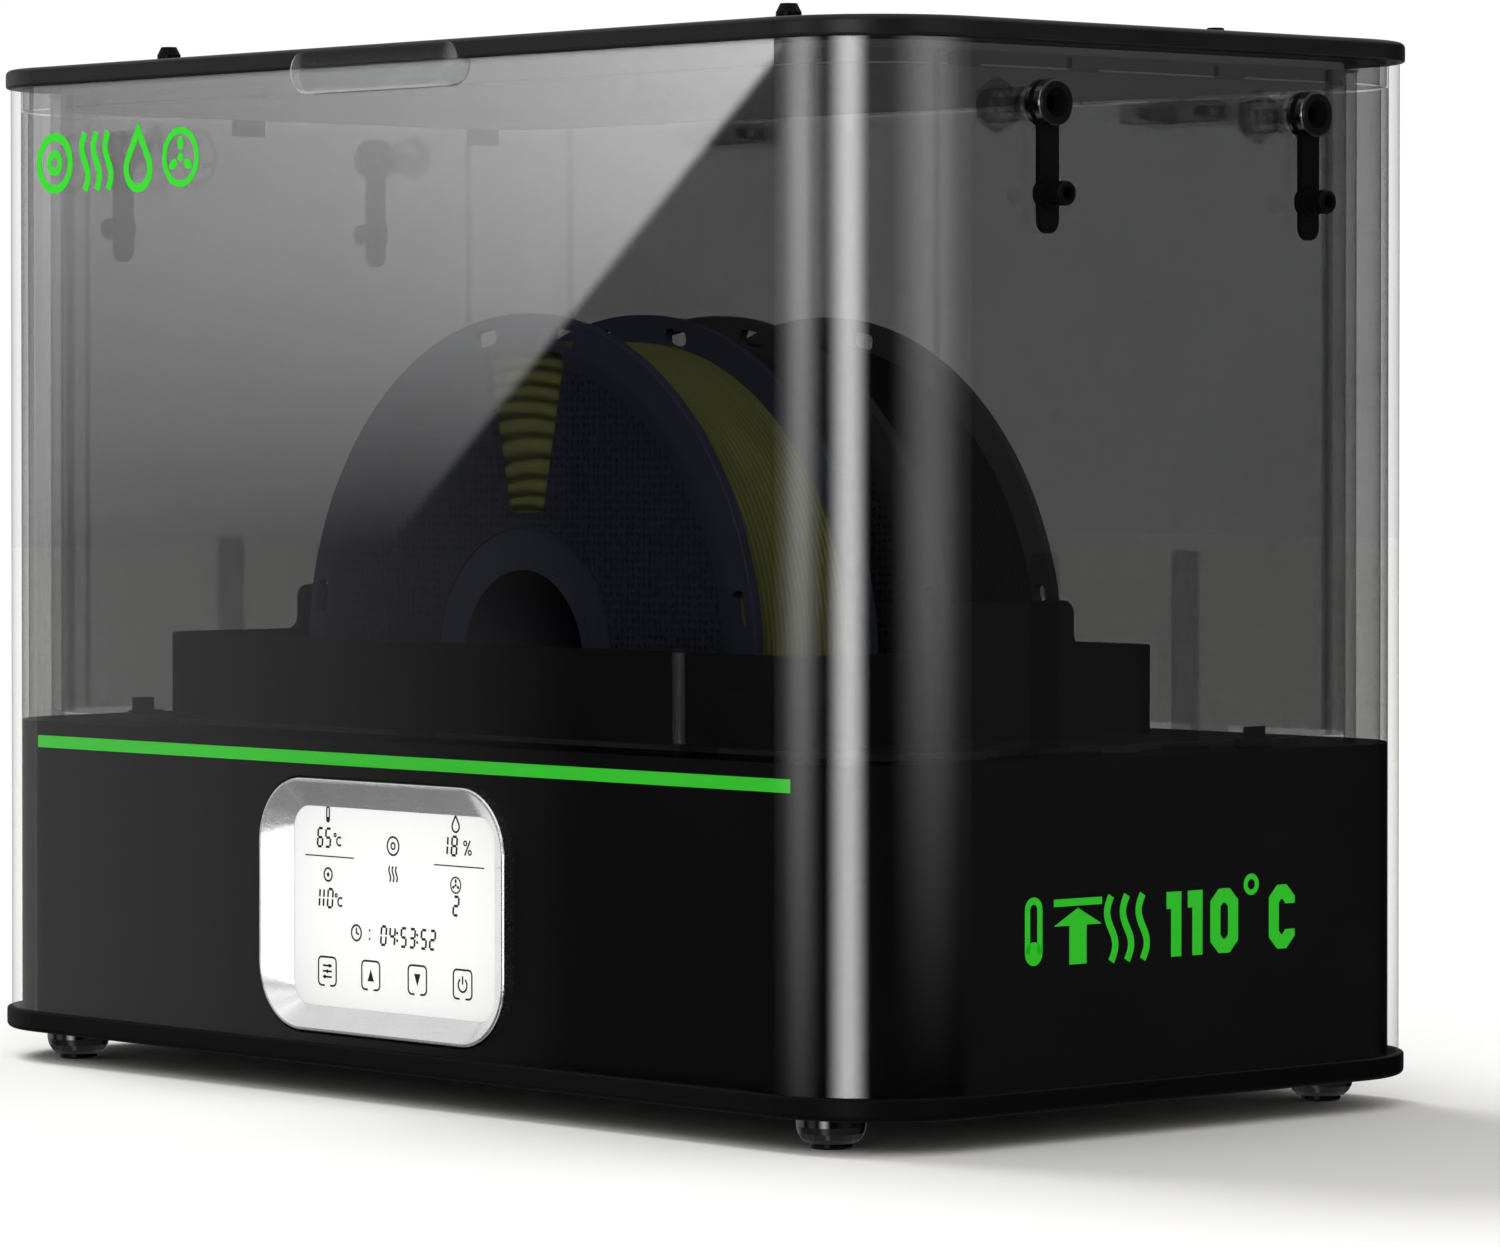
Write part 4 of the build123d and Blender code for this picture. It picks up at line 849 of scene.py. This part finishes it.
# ---- studio --------------------------------------------------------------------------------------
def make_camera():
    data = bpy.data.cameras.new("camera")
    data.lens = CAMERA_LENS
    data.sensor_width = 36.0
    data.clip_start = 0.05
    data.shift_y = CAMERA_SHIFT
    camera = bpy.data.objects.new("camera", data)
    camera.location = CAMERA_PLACE
    camera.rotation_euler = (math.radians(90 - CAMERA_DIP), 0, math.radians(CAMERA_TURN))
    bpy.context.scene.collection.objects.link(camera)
    bpy.context.scene.camera = camera


def make_floor():
    """A pale matt floor that isn't mirrored in the walls."""
    made, g = material("pale_floor")
    shade = g.mix(g.noise(3.0, 2.0), (0.895, 0.895, 0.89), (0.905, 0.905, 0.90))
    g.surface(g.principled(Base_Color=shade, Roughness=0.9, Specular_IOR_Level=0.0).outputs[0])
    bpy.ops.mesh.primitive_plane_add(size=14.0, location=(0, 0, 0))
    floor = bpy.context.object
    floor.name = "floor"
    floor.data.materials.append(made)
    floor.visible_glossy = False


def make_lights():
    """A broad key from the left, a soft fill from above the camera, and light that reaches past the walls."""
    key = bpy.data.objects.new("key", bpy.data.lights.new("key", "SUN"))
    key.data.energy = KEY_STRENGTH
    key.data.angle = math.radians(KEY_SPREAD)
    key.rotation_euler = (0, math.radians(-KEY_TILT), 0)
    fill = bpy.data.objects.new("fill", bpy.data.lights.new("fill", "AREA"))
    fill.data.energy = FILL_STRENGTH
    fill.data.size = 1.2
    fill.location = (1.5, -1.7, 1.5)
    fill.rotation_euler = (Vector((0, 0, 0.1)) - fill.location).to_track_quat("-Z", "Y").to_euler()
    inside = bpy.data.objects.new("inside", bpy.data.lights.new("inside", "SUN"))
    inside.data.energy = INSIDE_STRENGTH
    inside.data.angle = math.radians(50)
    inside.rotation_euler = Vector((-0.55, 0.62, -0.48)).to_track_quat("-Z", "Y").to_euler()
    lit = bpy.data.collections.new("lit_inside")
    for name in INSIDE_PIECES:
        lit.objects.link(bpy.data.objects[name])
    inside.light_linking.receiver_collection = lit
    inside.light_linking.blocker_collection = lit
    for light in (key, fill, inside):
        light.visible_glossy = False
        bpy.context.scene.collection.objects.link(light)


def front_reflection(g, x, y, z):
    """What the front wall mirrors: a softbox cut off along a slanting edge, and a faint glow from the left.

    The direction is turned into the place (across, height) where the camera sees it in the front wall."""
    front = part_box("outer_shell")[0].y
    reach = front - CAMERA_PLACE.y
    ahead = g.math("MAXIMUM", g.math("MULTIPLY", y, -1.0), 0.0001)
    across = g.math("MULTIPLY_ADD", g.math("DIVIDE", x, ahead), reach, CAMERA_PLACE.x)
    height = g.math("MULTIPLY_ADD", g.math("DIVIDE", z, ahead), reach, CAMERA_PLACE.z)
    above_foot = g.math("SUBTRACT", height, SOFTBOX_FOOT_Z)
    edge_at = g.math("ADD", g.math("DIVIDE", above_foot, SOFTBOX_SLOPE), SOFTBOX_FOOT_X)
    inside = g.math("SUBTRACT", edge_at, across)
    lit = g.smooth(inside, -0.0035, 0.0035)
    fade = g.math("POWER", 2.718, g.math("MULTIPLY", g.math("MAXIMUM", inside, 0.0), -4.1))
    climb = g.math("POWER", g.straight(height, 0.155, 0.285), 1.35)
    below_lid = g.smooth(height, 0.2912, 0.2932, 6.0, 0.0)
    softbox = g.math("MULTIPLY", g.math("MULTIPLY", lit, fade), g.math("MULTIPLY", climb, below_lid))
    glow = g.straight(across, -0.165, 0.085, 0.46, 0.0)
    on_front = g.math("MULTIPLY", g.smooth(across, -0.1675, -0.1645), g.math("LESS_THAN", across, 0.168))
    return g.math("MULTIPLY", g.math("ADD", softbox, glow), on_front)


def bell(g, azimuth, low, peak, high, radiance):
    """An upright strip light that is brightest at one azimuth in degrees and fades out on both sides."""
    rise = g.smooth(azimuth, low, peak)
    fall = g.smooth(azimuth, peak, high, 1.0, 0.0)
    return g.math("MULTIPLY", g.math("MULTIPLY", rise, fall), radiance)


def make_world():
    """White behind the object, an even ambient light, and a dark room with softboxes for what is mirrored."""
    world = bpy.data.worlds.new("studio")
    world.use_nodes = True
    bpy.context.scene.world = world
    g = Graph(world.node_tree)
    direction = g.node("ShaderNodeTexCoord").outputs["Generated"]
    split = g.node("ShaderNodeSeparateXYZ", {0: direction})
    x, y, z = (split.outputs[axis] for axis in "XYZ")
    azimuth = g.math("MULTIPLY", g.math("ARCTAN2", x, g.math("MULTIPLY", y, -1.0)), 180 / math.pi)
    level = g.length(x, y)
    rise = g.math("DIVIDE", z, g.math("MAXIMUM", level, 0.0001))

    mirrored = front_reflection(g, x, y, z)
    first = g.straight(rise, -0.104, 0.046, 0.3, 3.3)
    top_gain = g.straight(rise, 0.0, 0.046, 0.0, 0.5)
    third = g.math("MULTIPLY_ADD", g.smooth(rise, -0.105, -0.005), 1.22, top_gain)
    strips = (
        bell(g, azimuth, -45.0, -19.0, 3.0, first),
        bell(g, azimuth, 3.0, 24.0, 43.0, 6.9),
        bell(g, azimuth, 56.0, 94.0, 134.0, third),
    )
    left_strength = g.straight(azimuth, -105.0, -78.0, 0.30, 0.65)
    level_only = g.math("MULTIPLY", g.smooth(z, -0.40, -0.20), g.smooth(z, 0.20, 0.40, 1.0, 0.0))
    left_side = g.math("MULTIPLY", g.math("LESS_THAN", azimuth, -54.3), level_only)
    left_side = g.math("MULTIPLY", left_side, g.smooth(azimuth, -172.0, -125.0))
    softened = g.math("MULTIPLY", g.smooth(z, -0.22, -0.13, 0.12, 1.0), g.smooth(z, 0.07, 0.16, 1.0, 0.12))
    for each in strips:
        mirrored = g.math("ADD", mirrored, g.math("MULTIPLY", each, softened))
    mirrored = g.math("ADD", mirrored, g.math("MULTIPLY", left_side, left_strength))
    side_glow = g.math("MULTIPLY", g.smooth(azimuth, 118.0, 130.0, 0.0, 0.045),
                       g.smooth(azimuth, 150.0, 172.0, 1.0, 0.0))
    mirrored = g.math("ADD", mirrored, side_glow)
    above = g.smooth(z, 0.22, 0.60, 0.0, 0.80)
    below = g.smooth(z, -0.65, -0.28, 0.24, 0.0)
    mirrored = g.math("ADD", mirrored, g.math("ADD", above, below))

    path = g.node("ShaderNodeLightPath")
    seen = g.math("MAXIMUM", path.outputs["Is Camera Ray"], path.outputs["Is Transmission Ray"])
    ambient = g.mix(path.outputs["Is Glossy Ray"], AMBIENT, (0.0, 0.0, 0.0))
    gloss = g.node("ShaderNodeBackground", {"Color": (1.0, 1.0, 1.0), "Strength": mirrored})
    around = g.node("ShaderNodeBackground", {"Color": ambient})
    backdrop = g.node("ShaderNodeBackground", {"Color": (1.0, 1.0, 1.0), "Strength": 1.02})
    lit = g.node("ShaderNodeMixShader", {0: path.outputs["Is Glossy Ray"], 1: around.outputs[0],
                                         2: gloss.outputs[0]})
    final = g.node("ShaderNodeMixShader", {0: seen, 1: lit.outputs[0], 2: backdrop.outputs[0]})
    output = g.node("ShaderNodeOutputWorld")
    g.tree.links.new(final.outputs[0], output.inputs["Surface"])


def set_rendering():
    """Plain colours, and enough bounces to look through every wall of the box."""
    scene = bpy.context.scene
    scene.view_settings.view_transform = "Standard"
    scene.cycles.transparent_max_bounces = 40
    scene.cycles.max_bounces = 8
    scene.cycles.use_denoising = True
    scene.cycles.sample_clamp_indirect = 0.0
    scene.cycles.caustics_reflective = False
    scene.cycles.caustics_refractive = False
    scene.cycles.sampling_pattern = "TABULATED_SOBOL"


finishes = build_materials()
dress_nodes(finishes)
wound("winding_front", "filament_front", "front_spool", finishes["filament_olive"])
wound("winding_rear", "filament_rear", "rear_spool", finishes["filament_black"])
lid_pan(finishes["lid_pan"])
display_marks(finishes["print_dark"])
side_marks(finishes["print_green"])
corner_marks(finishes["print_green"])
make_camera()
make_floor()
make_lights()
make_world()
set_rendering()
